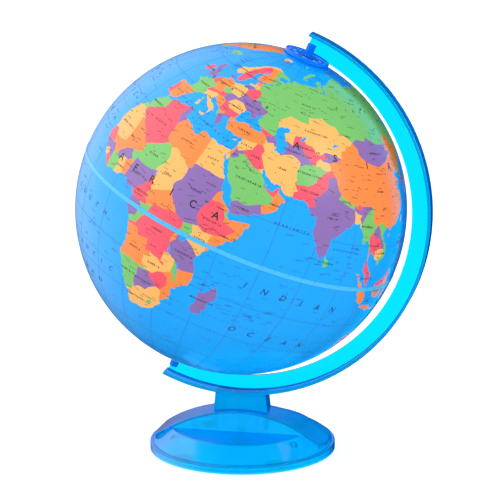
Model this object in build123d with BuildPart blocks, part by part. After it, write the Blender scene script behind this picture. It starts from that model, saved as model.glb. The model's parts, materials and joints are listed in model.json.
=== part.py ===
"""A 10-inch desktop globe on a see-through blue semi-meridian stand.

The ball turns on two pole pins that are held by the ends of a T-section arm. The arm's
neck plugs into a hollow base. An hour dial turns on the north pin, above the ball.

Units are millimetres. The origin is on the table under the ball's centre, +Z is up, and
the arm lies in the XZ plane, with the north pole leaning towards +X.
"""

import os
from math import acos, asin, cos, degrees, radians, sin, sqrt

from build123d import *

os.makedirs("parts", exist_ok=True)

# ---------------------------------------------------------------- driving dimensions
axis_tilt = 23.5  # lean of the polar axis from upright

# ball
ball_radius = 127.0  # over the printed map
map_thickness = 0.3
shell_wall = 1.6
seam_gap = 0.1  # between the two half shells
joint_ring_width = 12.0
joint_ring_wall = 1.2
tape_width = 3.2
tape_thickness = 0.2
glue_gap = 0.05

# pole bearings
pin_radius = 2.0
pin_seat_gap = 0.01  # a pin in the arm, and the washers on it
running_gap = 0.08  # a turning piece on a pin
end_gap = 0.4  # between turning and fixed faces
pin_reach = 8.0  # how far a pin goes in under the ball's surface
bush_wall = 2.42
bush_length = 8.5
bush_flange_radius = 6.0
bush_flange = 1.1
bush_fit = 0.1
bush_ring_wall = 3.4
bush_ring_thickness = 1.3

# polar cap and hour dial
dial_radius = 17.5
dial_plate = 0.9
dial_rim_wall = 1.2
dial_web_clearance = 0.55  # from the rim's top to the arm's inner edge
polar_cap_overlap = 0.7  # cap beyond the dial
polar_cap_thickness = 1.0
dial_washer_radius = 5.0
dial_washer_thickness = 0.4

# arm
arm_gap = 5.0  # from the ball to the web's inner edge
arm_depth = 15.0  # from the web's inner edge to the flange's outer face
web_thickness = 2.0
flange_thickness = 2.4
flange_width = 14.8
flange_round = 1.0
web_past_axis = 1.0  # degrees of web beyond each pin
flange_past_axis = 1.7  # degrees of flange beyond each pin
boss_radius = 3.4
boss_length = 7.1
boss_drop = 0.3  # boss face below the web's inner edge
boss_floor = 1.5

# neck
neck_height = 11.2  # from the base's top to the flange's outer face
neck_top_half = 20.0
neck_foot_half = 21.5
neck_half_depth = 7.0
neck_wall = 2.4
neck_corner = 1.5
neck_roof = 2.4
rib_inner = 12.6
rib_thickness = 2.8
prong_side_gap = 0.2  # from a prong to the neck's wall
prong_half_depth = 5.2
prong_shoulder_drop = 3.5  # prong's full width goes this far below the base's top
prong_length = 15.3  # below the base's top
screw_boss_radius = 4.0
seat_gap = 0.1

# base
base_half_length = 72.5  # along X
base_half_depth = 71.0  # along Y
base_height = 32.3  # top of the strap
rim_lift = 0.6  # rim's bottom edge above the table
rim_height = 7.0
rim_ledge = 2.5
shelf_height = 18.0
skirt_run = 17.0  # from the rim in to the shelf
strap_setback = 4.0  # from the rim in to the strap's ends
strap_foot_height = 7.2  # where the strap's arch would reach the rim's outline
ridge_half_depth = 14.0
crease_half_depth = 19.5
base_wall = 2.2
edge_round = 0.8
socket_wall = 2.0
socket_clearance = 0.4
socket_floor = 2.0

# base cover, screws and feet
cover_thickness = 2.0
cover_clearance = 0.3
pad_radius = 8.0
pad_thickness = 1.0
pad_setback_x = 36.5  # pad centres in from the rim
pad_setback_y = 25.0
post_setback_x = 26.5  # screw posts in from the rim
post_setback_y = 40.0
post_radius = 3.4
post_height = 11.0
cover_screw_radius = 1.25
cover_screw_length = 8.0
cover_screw_head_radius = 2.6
cover_screw_head = 1.1
neck_screw_radius = 1.7
neck_screw_length = 17.0
neck_screw_head_radius = 3.4
neck_screw_head = 2.4
neck_washer_radius = 5.0
neck_washer_thickness = 0.8
thread_gap = 0.05
clearance_hole_gap = 0.25
cover_screw_slot_length = 3.25
neck_screw_slot_length = 4.1
drive_slot = 0.9
drive_depth = 0.7

# small edges
cover_edge_round = 0.5
pad_edge_round = 0.3
neck_screw_head_round = 0.8
pin_end_round = 0.4
dial_edge_round = 0.4
prong_tip_width = 0.6
rib_taper_start = 2.0  # above the base's top
rib_taper_end = 1.0  # below the base's top
cut_past = 1.0  # how far a cut runs past the face it opens

# ---------------------------------------------------------------- derived places
shelf_half_length = base_half_length - skirt_run
shelf_half_depth = base_half_depth - skirt_run
pad_half_x = base_half_length - pad_setback_x
pad_half_y = base_half_depth - pad_setback_y
post_half_x = base_half_length - post_setback_x
post_half_y = base_half_depth - post_setback_y
prong_half_width = neck_top_half - neck_wall - prong_side_gap
web_radius = ball_radius + arm_gap
flange_radius = web_radius + arm_depth
shell_radius = ball_radius - map_thickness
shell_inner = shell_radius - shell_wall
centre = Vector(0, 0, base_height + neck_height + flange_radius)
polar_axis = Vector(sin(radians(axis_tilt)), 0, cos(radians(axis_tilt)))
across_axis = Vector(cos(radians(axis_tilt)), 0, -sin(radians(axis_tilt)))
north_angle = 90.0 - axis_tilt
south_angle = north_angle - 180.0
bush_radius = pin_radius + running_gap + bush_wall
bush_top = ball_radius + glue_gap + bush_flange
dial_bottom = bush_top + end_gap
dial_top = dial_bottom + dial_plate
cap_inner = ball_radius + 2 * glue_gap
cap_outer = cap_inner + polar_cap_thickness
dial_rim_bottom = sqrt(cap_outer**2 - (dial_radius - dial_rim_wall) ** 2) + end_gap
dial_rim_top = sqrt((web_radius - dial_web_clearance) ** 2 - dial_radius**2)
pad_top = pad_thickness
cover_top = pad_top + cover_thickness
cover_inset = base_wall + cover_clearance
socket_bottom = base_height - prong_length - socket_floor - seat_gap


def pole_plane(side: int, reach: float) -> Plane:
    """Plane square to the polar axis, facing outwards, at a distance from the centre."""
    outward = polar_axis * side
    return Plane(origin=centre + outward * reach, x_dir=across_axis, z_dir=outward)


def half_section_plane() -> Plane:
    """Plane that holds the polar axis: local x is out from the axis, local y is north."""
    return Plane(origin=centre, x_dir=across_axis, z_dir=across_axis.cross(polar_axis))


def arm_plane(angle: float) -> Plane:
    """Plane across the arm at an angle from +X: local x is outwards, local y is +Y."""
    turn = radians(angle)
    return Plane(origin=centre, x_dir=(cos(turn), 0, sin(turn)), z_dir=(-sin(turn), 0, cos(turn)))


def spherical_zone(inner: float, outer: float, low: float, high: float) -> None:
    """Shell between two radii and two latitudes about the polar axis, added to the open part."""
    with BuildSketch(half_section_plane()) as zone:
        with BuildLine():
            outside = CenterArc((0, 0), outer, low, high - low)
            inside = CenterArc((0, 0), inner, low, high - low)
            Line(outside @ 0, inside @ 0)
            Line(outside @ 1, inside @ 1)
        make_face()
    revolve(zone.sketch, axis=Axis(centre, polar_axis))


def edge_latitude(radius: float, from_axis: float) -> float:
    """Latitude where a sphere of this radius is this far from the polar axis."""
    return degrees(acos(from_axis / radius))


def rising_arc(half_span: float, foot: float, top: float) -> tuple[float, float]:
    """Radius and centre height of the arc through both feet and the top."""
    rise = top - foot
    radius = (half_span**2 + rise**2) / (2 * rise)
    return radius, top - radius


def strap_height(x: float) -> float:
    """Height of the strap's top face at a distance from the middle."""
    radius, middle = rising_arc(base_half_length, strap_foot_height, base_height)
    return middle + sqrt(radius**2 - x**2)


def rim_form(inset: float, bottom: float, rounding: float) -> Part:
    """The base's upright rim, drawn in by the inset."""
    with BuildPart(mode=Mode.PRIVATE) as rim:
        with BuildSketch(Plane.XY.offset(bottom)):
            Ellipse(base_half_length - inset, base_half_depth - inset)
        extrude(amount=rim_height - inset - bottom)
        if rounding:
            fillet(rim.edges().group_by(Axis.Z)[-1], rounding)
    return rim.part


def skirt_form(inset: float, bottom: float, rounding: float) -> Part:
    """The sloping skirt from the rim's ledge up to the flat shelf, drawn in by the inset."""
    foot_inset = rim_ledge + inset
    with BuildPart(mode=Mode.PRIVATE) as skirt:
        with BuildSketch(Plane.XY.offset(bottom)):
            Ellipse(base_half_length - foot_inset, base_half_depth - foot_inset)
        extrude(amount=rim_height - inset - bottom)
        with BuildSketch(Plane.XY.offset(rim_height - inset)):
            Ellipse(base_half_length - foot_inset, base_half_depth - foot_inset)
        with BuildSketch(Plane.XY.offset(shelf_height - inset)):
            Ellipse(shelf_half_length - inset, shelf_half_depth - inset)
        loft()
        if rounding:
            fillet(skirt.edges().group_by(Axis.Z)[-1], rounding)
    return skirt.part


def strap_form(inset: float, bottom: float, rounding: float) -> Part:
    """The arched strap over the base with its two sloping sides, drawn in by the inset."""
    foot = base_half_length - inset
    end_inset = strap_setback + inset
    foot_height = strap_foot_height - inset
    crease = crease_half_depth - inset
    ridge = ridge_half_depth - inset
    with BuildPart(mode=Mode.PRIVATE) as strap:
        with BuildSketch(Plane.XZ):
            with BuildLine():
                arch = ThreePointArc((-foot, foot_height), (0, base_height - inset), (foot, foot_height))
                Polyline(arch @ 1, (foot, bottom), (-foot, bottom), arch @ 0)
            make_face()
        extrude(amount=crease, both=True)
        with BuildSketch(Plane.YZ):
            with BuildLine():
                Polyline(
                    (-crease, bottom),
                    (crease, bottom),
                    (crease, shelf_height - inset),
                    (ridge, base_height - inset),
                    (-ridge, base_height - inset),
                    (-crease, shelf_height - inset),
                    close=True,
                )
            make_face()
        extrude(amount=foot, both=True, mode=Mode.INTERSECT)
        if rounding:
            top = strap.faces().filter_by(GeomType.CYLINDER)
            fillet(top.edges().filter_by(GeomType.LINE, reverse=True), rounding)
        with BuildSketch(Plane.XY):
            Ellipse(base_half_length - end_inset, base_half_depth - end_inset)
        extrude(amount=base_height + cut_past, mode=Mode.INTERSECT)
    return strap.part


def hollow_block(half_x: float, half_y: float, low: float, high: float, mode: Mode) -> None:
    """Upright rectangular block between two heights, added or cut from the open part."""
    with BuildSketch(Plane.XY.offset(low)) as block:
        Rectangle(2 * half_x, 2 * half_y)
    extrude(block.sketch, amount=high - low, mode=mode)


def save(piece: Part, name: str) -> None:
    """Label a finished piece and write its STEP file."""
    piece.label = name
    export_step(piece, f"parts/{name}.step")


# ---------------------------------------------------------------- base shell
with BuildPart() as hollow:
    for form in (rim_form, skirt_form, strap_form):
        add(form(base_wall, 0.0, 0.0))
    with Locations(*[Pos(x, y, 0) for x in (-post_half_x, post_half_x) for y in (-post_half_y, post_half_y)]):
        Cylinder(
            post_radius,
            cover_top + seat_gap + post_height,
            align=(Align.CENTER, Align.CENTER, Align.MIN),
            mode=Mode.SUBTRACT,
        )
    post_reach_x, post_reach_y = post_half_x + post_radius, post_half_y + post_radius
    hollow_block(post_reach_x + cut_past, post_reach_y + cut_past, 0, cover_top + seat_gap, Mode.ADD)
    hollow_block(
        prong_half_width + socket_clearance + socket_wall,
        prong_half_depth + socket_clearance + socket_wall,
        socket_bottom,
        base_height,
        Mode.SUBTRACT,
    )

with BuildPart() as base_shell:
    for form in (rim_form, skirt_form, strap_form):
        add(form(0.0, rim_lift, edge_round))
    add(hollow.part, mode=Mode.SUBTRACT)
    hollow_block(
        prong_half_width + socket_clearance,
        prong_half_depth + socket_clearance,
        socket_bottom + socket_floor,
        base_height + cut_past,
        Mode.SUBTRACT,
    )
    with Locations((0, 0, socket_bottom + socket_floor)):
        Hole(neck_screw_radius + clearance_hole_gap, depth=socket_floor + cut_past)
    for x in (-post_half_x, post_half_x):
        for y in (-post_half_y, post_half_y):
            with Locations((x, y, cover_top)):
                Cylinder(
                    cover_screw_radius + thread_gap,
                    cover_screw_length,
                    align=(Align.CENTER, Align.CENTER, Align.MIN),
                    mode=Mode.SUBTRACT,
                )
save(base_shell.part, "base_shell")

# ---------------------------------------------------------------- base cover
with BuildPart() as base_cover:
    with BuildSketch(Plane.XY.offset(pad_top)):
        Ellipse(base_half_length - cover_inset, base_half_depth - cover_inset)
    extrude(amount=cover_thickness)
    fillet(base_cover.edges().group_by(Axis.Z)[0], cover_edge_round)
    with BuildSketch(Plane.XY.offset(pad_top)):
        with GridLocations(2 * post_half_x, 2 * post_half_y, 2, 2):
            Circle(cover_screw_radius + clearance_hole_gap)
    extrude(amount=cover_thickness, mode=Mode.SUBTRACT)
    with BuildSketch(Plane.XY.offset(pad_top)):
        with GridLocations(2 * post_half_x, 2 * post_half_y, 2, 2):
            Circle(cover_screw_head_radius + clearance_hole_gap)
    extrude(amount=cover_screw_head + seat_gap, mode=Mode.SUBTRACT)
save(base_cover.part, "base_cover")

# ---------------------------------------------------------------- cover screws
with BuildPart() as cover_screws:
    head_seat = pad_top + cover_screw_head + seat_gap
    with BuildSketch(Plane.XY.offset(head_seat - cover_screw_head)):
        with GridLocations(2 * post_half_x, 2 * post_half_y, 2, 2):
            Circle(cover_screw_head_radius)
    extrude(amount=cover_screw_head)
    with BuildSketch(Plane.XY.offset(head_seat)):
        with GridLocations(2 * post_half_x, 2 * post_half_y, 2, 2):
            Circle(cover_screw_radius)
    extrude(amount=cover_screw_length - drive_slot)
    with BuildSketch(Plane.XY.offset(head_seat - cover_screw_head)):
        with GridLocations(2 * post_half_x, 2 * post_half_y, 2, 2):
            Rectangle(cover_screw_slot_length, drive_slot)
            Rectangle(drive_slot, cover_screw_slot_length)
    extrude(amount=drive_depth, mode=Mode.SUBTRACT)
save(cover_screws.part, "cover_screws")

# ---------------------------------------------------------------- foot pads
with BuildPart() as foot_pads:
    with BuildSketch():
        Circle(pad_radius)
        with GridLocations(2 * pad_half_x, 2 * pad_half_y, 2, 2):
            Circle(pad_radius)
    extrude(amount=pad_thickness)
    fillet(foot_pads.edges().group_by(Axis.Z)[0], pad_edge_round)
save(foot_pads.part, "foot_pads")

# ---------------------------------------------------------------- semi-meridian arm
flange_middle = flange_radius - flange_thickness / 2
web_outer = flange_radius - flange_thickness / 2
arm_turn = Axis(centre, (0, -1, 0))
neck_top = centre.Z - web_outer
boss_start = web_radius - boss_drop
tip = base_height - prong_length

with BuildPart() as semi_meridian:
    with BuildSketch(arm_plane(south_angle - flange_past_axis)):
        with Locations((flange_middle, 0)):
            RectangleRounded(flange_thickness, flange_width, flange_round)
    revolve(axis=arm_turn, revolution_arc=180 + 2 * flange_past_axis)
    with BuildSketch(arm_plane(south_angle - web_past_axis)):
        with Locations(((web_radius + web_outer) / 2, 0)):
            Rectangle(web_outer - web_radius, web_thickness)
    revolve(axis=arm_turn, revolution_arc=180 + 2 * web_past_axis)
    # the neck's foot follows the strap's curved top
    with BuildSketch(Plane.XZ):
        with BuildLine():
            foot_arc = ThreePointArc(
                (-neck_foot_half, strap_height(neck_foot_half) + seat_gap),
                (0, base_height + seat_gap),
                (neck_foot_half, strap_height(neck_foot_half) + seat_gap),
            )
            Polyline(foot_arc @ 1, (neck_top_half, neck_top), (-neck_top_half, neck_top), foot_arc @ 0)
        make_face()
    extrude(amount=neck_half_depth, both=True)
    hollow_block(
        neck_top_half - neck_wall,
        neck_half_depth - neck_wall,
        strap_height(neck_foot_half),
        base_height + neck_height - neck_roof,
        Mode.SUBTRACT,
    )
    # two ribs run down from the neck's roof and end as tapered prongs
    with BuildSketch(Plane.XZ):
        with BuildLine():
            Polyline(
                (rib_inner, neck_top),
                (rib_inner + rib_thickness, neck_top),
                (rib_inner + rib_thickness, base_height + rib_taper_start),
                (prong_half_width, base_height - rib_taper_end),
                (prong_half_width, base_height - prong_shoulder_drop),
                (rib_inner + prong_tip_width, tip),
                (rib_inner, tip),
                close=True,
            )
        make_face()
        mirror(about=Plane.YZ)
    extrude(amount=prong_half_depth - socket_clearance, both=True)
    with BuildSketch(Plane.XY.offset(tip)):
        Circle(screw_boss_radius)
    extrude(amount=neck_top - tip)
    with BuildSketch(Plane.XY.offset(tip)):
        Circle(neck_screw_radius + thread_gap)
    extrude(amount=neck_screw_length, mode=Mode.SUBTRACT)
    for side in (1, -1):
        with BuildSketch(pole_plane(side, boss_start)):
            Circle(boss_radius)
        extrude(amount=boss_length)
        with BuildSketch(pole_plane(side, boss_start)):
            Circle(pin_radius + pin_seat_gap)
        extrude(amount=boss_length - boss_floor, mode=Mode.SUBTRACT)
save(semi_meridian.part, "semi_meridian")

# ---------------------------------------------------------------- neck screw and washer
screw_seat = socket_bottom - neck_washer_thickness
with BuildPart() as neck_washer:
    with BuildSketch(Plane.XY.offset(screw_seat)):
        Circle(neck_washer_radius)
        Circle(neck_screw_radius + clearance_hole_gap, mode=Mode.SUBTRACT)
    extrude(amount=neck_washer_thickness)
save(neck_washer.part, "neck_washer")

with BuildPart() as neck_screw:
    with BuildSketch(Plane.XY.offset(screw_seat - neck_screw_head)):
        Circle(neck_screw_head_radius)
    extrude(amount=neck_screw_head)
    fillet(neck_screw.edges().group_by(Axis.Z)[0], neck_screw_head_round)
    with BuildSketch(Plane.XY.offset(screw_seat)):
        Circle(neck_screw_radius)
    extrude(amount=neck_screw_length)
    with BuildSketch(Plane.XY.offset(screw_seat - neck_screw_head)):
        Rectangle(neck_screw_slot_length, drive_slot)
        Rectangle(drive_slot, neck_screw_slot_length)
    extrude(amount=2 * drive_depth, mode=Mode.SUBTRACT)
save(neck_screw.part, "neck_screw")

# ---------------------------------------------------------------- pole pins and bearings
pin_inner_end = ball_radius - pin_reach
pin_outer_end = boss_start + boss_length - boss_floor
bush_ring_top = sqrt(shell_inner**2 - (bush_radius + bush_fit + bush_ring_wall) ** 2) - bush_fit

for pole, side in (("north", 1), ("south", -1)):
    with BuildPart() as pole_pin:
        with BuildSketch(pole_plane(side, pin_inner_end)):
            Circle(pin_radius)
        extrude(amount=pin_outer_end - pin_inner_end)
        fillet(pole_pin.edges().filter_by(GeomType.CIRCLE), pin_end_round)
    save(pole_pin.part, f"{pole}_pin")

    with BuildPart() as bush:
        with BuildSketch(pole_plane(side, ball_radius + glue_gap)):
            Circle(bush_flange_radius)
        extrude(amount=bush_flange)
        with BuildSketch(pole_plane(side, ball_radius + glue_gap - bush_length)):
            Circle(bush_radius)
        extrude(amount=bush_length)
        with BuildSketch(pole_plane(side, ball_radius + glue_gap - bush_length)):
            Circle(pin_radius + running_gap)
        extrude(amount=bush_length + bush_flange, mode=Mode.SUBTRACT)
    save(bush.part, f"{pole}_bush")

    with BuildPart() as bush_ring:
        with BuildSketch(pole_plane(side, bush_ring_top - bush_ring_thickness)):
            Circle(bush_radius + bush_fit + bush_ring_wall)
            Circle(bush_radius + bush_fit, mode=Mode.SUBTRACT)
        extrude(amount=bush_ring_thickness)
    save(bush_ring.part, f"{pole}_bush_ring")

# ---------------------------------------------------------------- ball: shells and maps
pole_hole = bush_radius + bush_fit
for pole, side in (("north", 1), ("south", -1)):
    seam_latitude = degrees(asin(seam_gap / 2 / shell_radius))
    with BuildPart() as half_shell:
        spherical_zone(
            shell_inner, shell_radius, side * seam_latitude, side * edge_latitude(shell_radius, pole_hole)
        )
    save(half_shell.part, f"{pole}_hemisphere")

    with BuildPart() as half_map:
        spherical_zone(
            shell_radius, ball_radius, side * seam_latitude, side * edge_latitude(ball_radius, pole_hole)
        )
    save(half_map.part, f"{pole}_map")

with BuildPart() as joint_ring:
    ring_outer = shell_inner - glue_gap
    half_band = degrees(asin(joint_ring_width / 2 / ring_outer))
    spherical_zone(ring_outer - joint_ring_wall, ring_outer, -half_band, half_band)
save(joint_ring.part, "joint_ring")

with BuildPart() as equator_tape:
    tape_inner = ball_radius + glue_gap
    half_tape = degrees(asin(tape_width / 2 / tape_inner))
    spherical_zone(tape_inner, tape_inner + tape_thickness, -half_tape, half_tape)
save(equator_tape.part, "equator_tape")

with BuildPart() as polar_cap:
    spherical_zone(
        cap_inner,
        cap_outer,
        edge_latitude(cap_outer, dial_radius + polar_cap_overlap),
        edge_latitude(cap_outer, bush_flange_radius + bush_fit),
    )
save(polar_cap.part, "polar_cap")

# ---------------------------------------------------------------- hour dial
with BuildPart() as hour_dial:
    with BuildSketch(pole_plane(1, dial_bottom)):
        Circle(dial_radius)
    extrude(amount=dial_plate)
    with BuildSketch(pole_plane(1, dial_rim_bottom)):
        Circle(dial_radius)
        Circle(dial_radius - dial_rim_wall, mode=Mode.SUBTRACT)
    extrude(amount=dial_rim_top - dial_rim_bottom)
    rim_edges = hour_dial.edges().filter_by(GeomType.CIRCLE).group_by(SortBy.RADIUS)[-1]
    fillet(rim_edges, dial_edge_round)
    with BuildSketch(pole_plane(1, dial_bottom)):
        Circle(pin_radius + running_gap)
    extrude(amount=dial_plate, mode=Mode.SUBTRACT)
save(hour_dial.part, "hour_dial")

washer_bottom = dial_top + end_gap
with BuildPart() as dial_washer:
    with BuildSketch(pole_plane(1, washer_bottom)):
        Circle(dial_washer_radius)
        Circle(pin_radius + pin_seat_gap, mode=Mode.SUBTRACT)
    extrude(amount=dial_washer_thickness)
save(dial_washer.part, "dial_washer")

with BuildPart() as north_collar:
    collar_bottom = washer_bottom + dial_washer_thickness
    with BuildSketch(pole_plane(1, collar_bottom)):
        Circle(boss_radius)
        Circle(pin_radius + pin_seat_gap, mode=Mode.SUBTRACT)
    extrude(amount=boss_start - collar_bottom)
save(north_collar.part, "north_collar")

with BuildPart() as south_cup:
    cup_top = bush_top + end_gap
    with BuildSketch(pole_plane(-1, cup_top)):
        Circle(bush_flange_radius + bush_flange / 2)
    extrude(amount=bush_flange)
    with BuildSketch(pole_plane(-1, cup_top + bush_flange)):
        Circle(boss_radius)
    extrude(amount=boss_start - cup_top - bush_flange)
    with BuildSketch(pole_plane(-1, cup_top)):
        Circle(pin_radius + pin_seat_gap)
    extrude(amount=boss_start - cup_top, mode=Mode.SUBTRACT)
save(south_cup.part, "south_cup")
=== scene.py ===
"""Looks of a desktop globe on its stand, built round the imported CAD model.

The stand, the dial and the inner parts are the CAD model's own nodes, and get their finishes here. The two
paper map halves are drawn again as printed gores, with seas, countries, a grid, names and small marks.
Everything is in metres, in the CAD model's frame.
"""
import json
import logging
import math
import random
from dataclasses import dataclass, field
from enum import Enum

import bpy
import numpy as np
from mathutils import Matrix, Vector
from mathutils.geometry import delaunay_2d_cdt
from mathutils.kdtree import KDTree


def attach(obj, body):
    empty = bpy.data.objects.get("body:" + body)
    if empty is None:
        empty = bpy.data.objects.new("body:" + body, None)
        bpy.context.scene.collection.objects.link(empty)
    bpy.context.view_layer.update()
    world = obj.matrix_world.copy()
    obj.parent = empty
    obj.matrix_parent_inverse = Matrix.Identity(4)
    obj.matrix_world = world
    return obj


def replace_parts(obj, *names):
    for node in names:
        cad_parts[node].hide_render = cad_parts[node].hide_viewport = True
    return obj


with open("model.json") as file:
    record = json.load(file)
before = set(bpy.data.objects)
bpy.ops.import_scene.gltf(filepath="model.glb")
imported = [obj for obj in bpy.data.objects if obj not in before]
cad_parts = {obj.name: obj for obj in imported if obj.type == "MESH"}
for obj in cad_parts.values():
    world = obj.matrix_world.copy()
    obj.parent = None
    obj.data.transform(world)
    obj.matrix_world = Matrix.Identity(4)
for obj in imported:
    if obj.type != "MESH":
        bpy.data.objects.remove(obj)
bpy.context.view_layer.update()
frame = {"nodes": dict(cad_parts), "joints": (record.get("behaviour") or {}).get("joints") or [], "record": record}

log = logging.getLogger("desktop_globe")
MM = 0.001


# -------------------- helpers

def linear(hex_colour: str) -> tuple[float, float, float, float]:
    """Turns an sRGB hex colour into linear light.

    Args:
        hex_colour: six digits after a hash, such as "#0095F2".

    Returns:
        Red, green, blue and an alpha of 1, in linear light.
    """
    parts = [int(hex_colour[i:i + 2], 16) / 255 for i in (1, 3, 5)]
    curve = [c / 12.92 if c <= 0.04045 else ((c + 0.055) / 1.055) ** 2.4 for c in parts]
    return curve[0], curve[1], curve[2], 1.0


def per_mm(size: float) -> float:
    """Gives the texture scale at which one feature is this many millimetres across."""
    return 1.0 / (size * MM)


def add_node(tree: bpy.types.NodeTree, kind: str, settings: dict | None = None,
        inputs: dict | None = None, links: dict | None = None) -> bpy.types.Node:
    """Adds one node to a tree, sets it and links its inputs.

    Args:
        tree: the node tree that gets the node.
        kind: the node's type after "ShaderNode", such as "TexNoise".
        settings: the node's own properties, by name.
        inputs: plain values, by input name or number.
        links: outputs of other nodes, by input name or number.

    Returns:
        The new node.
    """
    node = tree.nodes.new("ShaderNode" + kind)
    for name, value in (settings or {}).items():
        setattr(node, name, value)
    for key, value in (inputs or {}).items():
        node.inputs[key].default_value = value
    for key, output in (links or {}).items():
        tree.links.new(output, node.inputs[key])
    return node


def new_material(name: str) -> tuple[bpy.types.Material, bpy.types.NodeTree, bpy.types.Node]:
    """Makes an empty node material.

    Args:
        name: the material's name.

    Returns:
        The material, its node tree and its output node.
    """
    material = bpy.data.materials.new(name)
    material.use_nodes = True
    tree = material.node_tree
    tree.nodes.clear()
    return material, tree, add_node(tree, "OutputMaterial")


def add_object(name: str, data: bpy.types.ID) -> bpy.types.Object:
    """Makes an object of a mesh, curve, light or camera and links it into the scene.

    Args:
        name: the object's name.
        data: what it shows.

    Returns:
        The new object.
    """
    made = bpy.data.objects.new(name, data)
    bpy.context.scene.collection.objects.link(made)
    return made


def mesh_piece(name: str, points: np.ndarray, faces: list, materials: list,
        inks: np.ndarray | None = None, smooth: bool = False) -> bpy.types.Object:
    """Makes a mesh object in the scene.

    Args:
        name: the piece's name.
        points: vertex positions in metres, one row each.
        faces: vertex numbers of each face.
        materials: the materials of its slots.
        inks: slot number of each face, or None where all faces use the first slot.
        smooth: whether the faces are shaded smooth.

    Returns:
        The new object.
    """
    mesh = bpy.data.meshes.new(name)
    mesh.from_pydata([tuple(map(float, p)) for p in points], [], [tuple(map(int, f)) for f in faces])
    for material in materials:
        mesh.materials.append(material)
    if inks is not None:
        mesh.polygons.foreach_set("material_index", np.asarray(inks, np.int32))
    mesh.polygons.foreach_set("use_smooth", np.full(len(mesh.polygons), smooth))
    mesh.update()
    return add_object(name, mesh)


# -------------------- finishes

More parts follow.
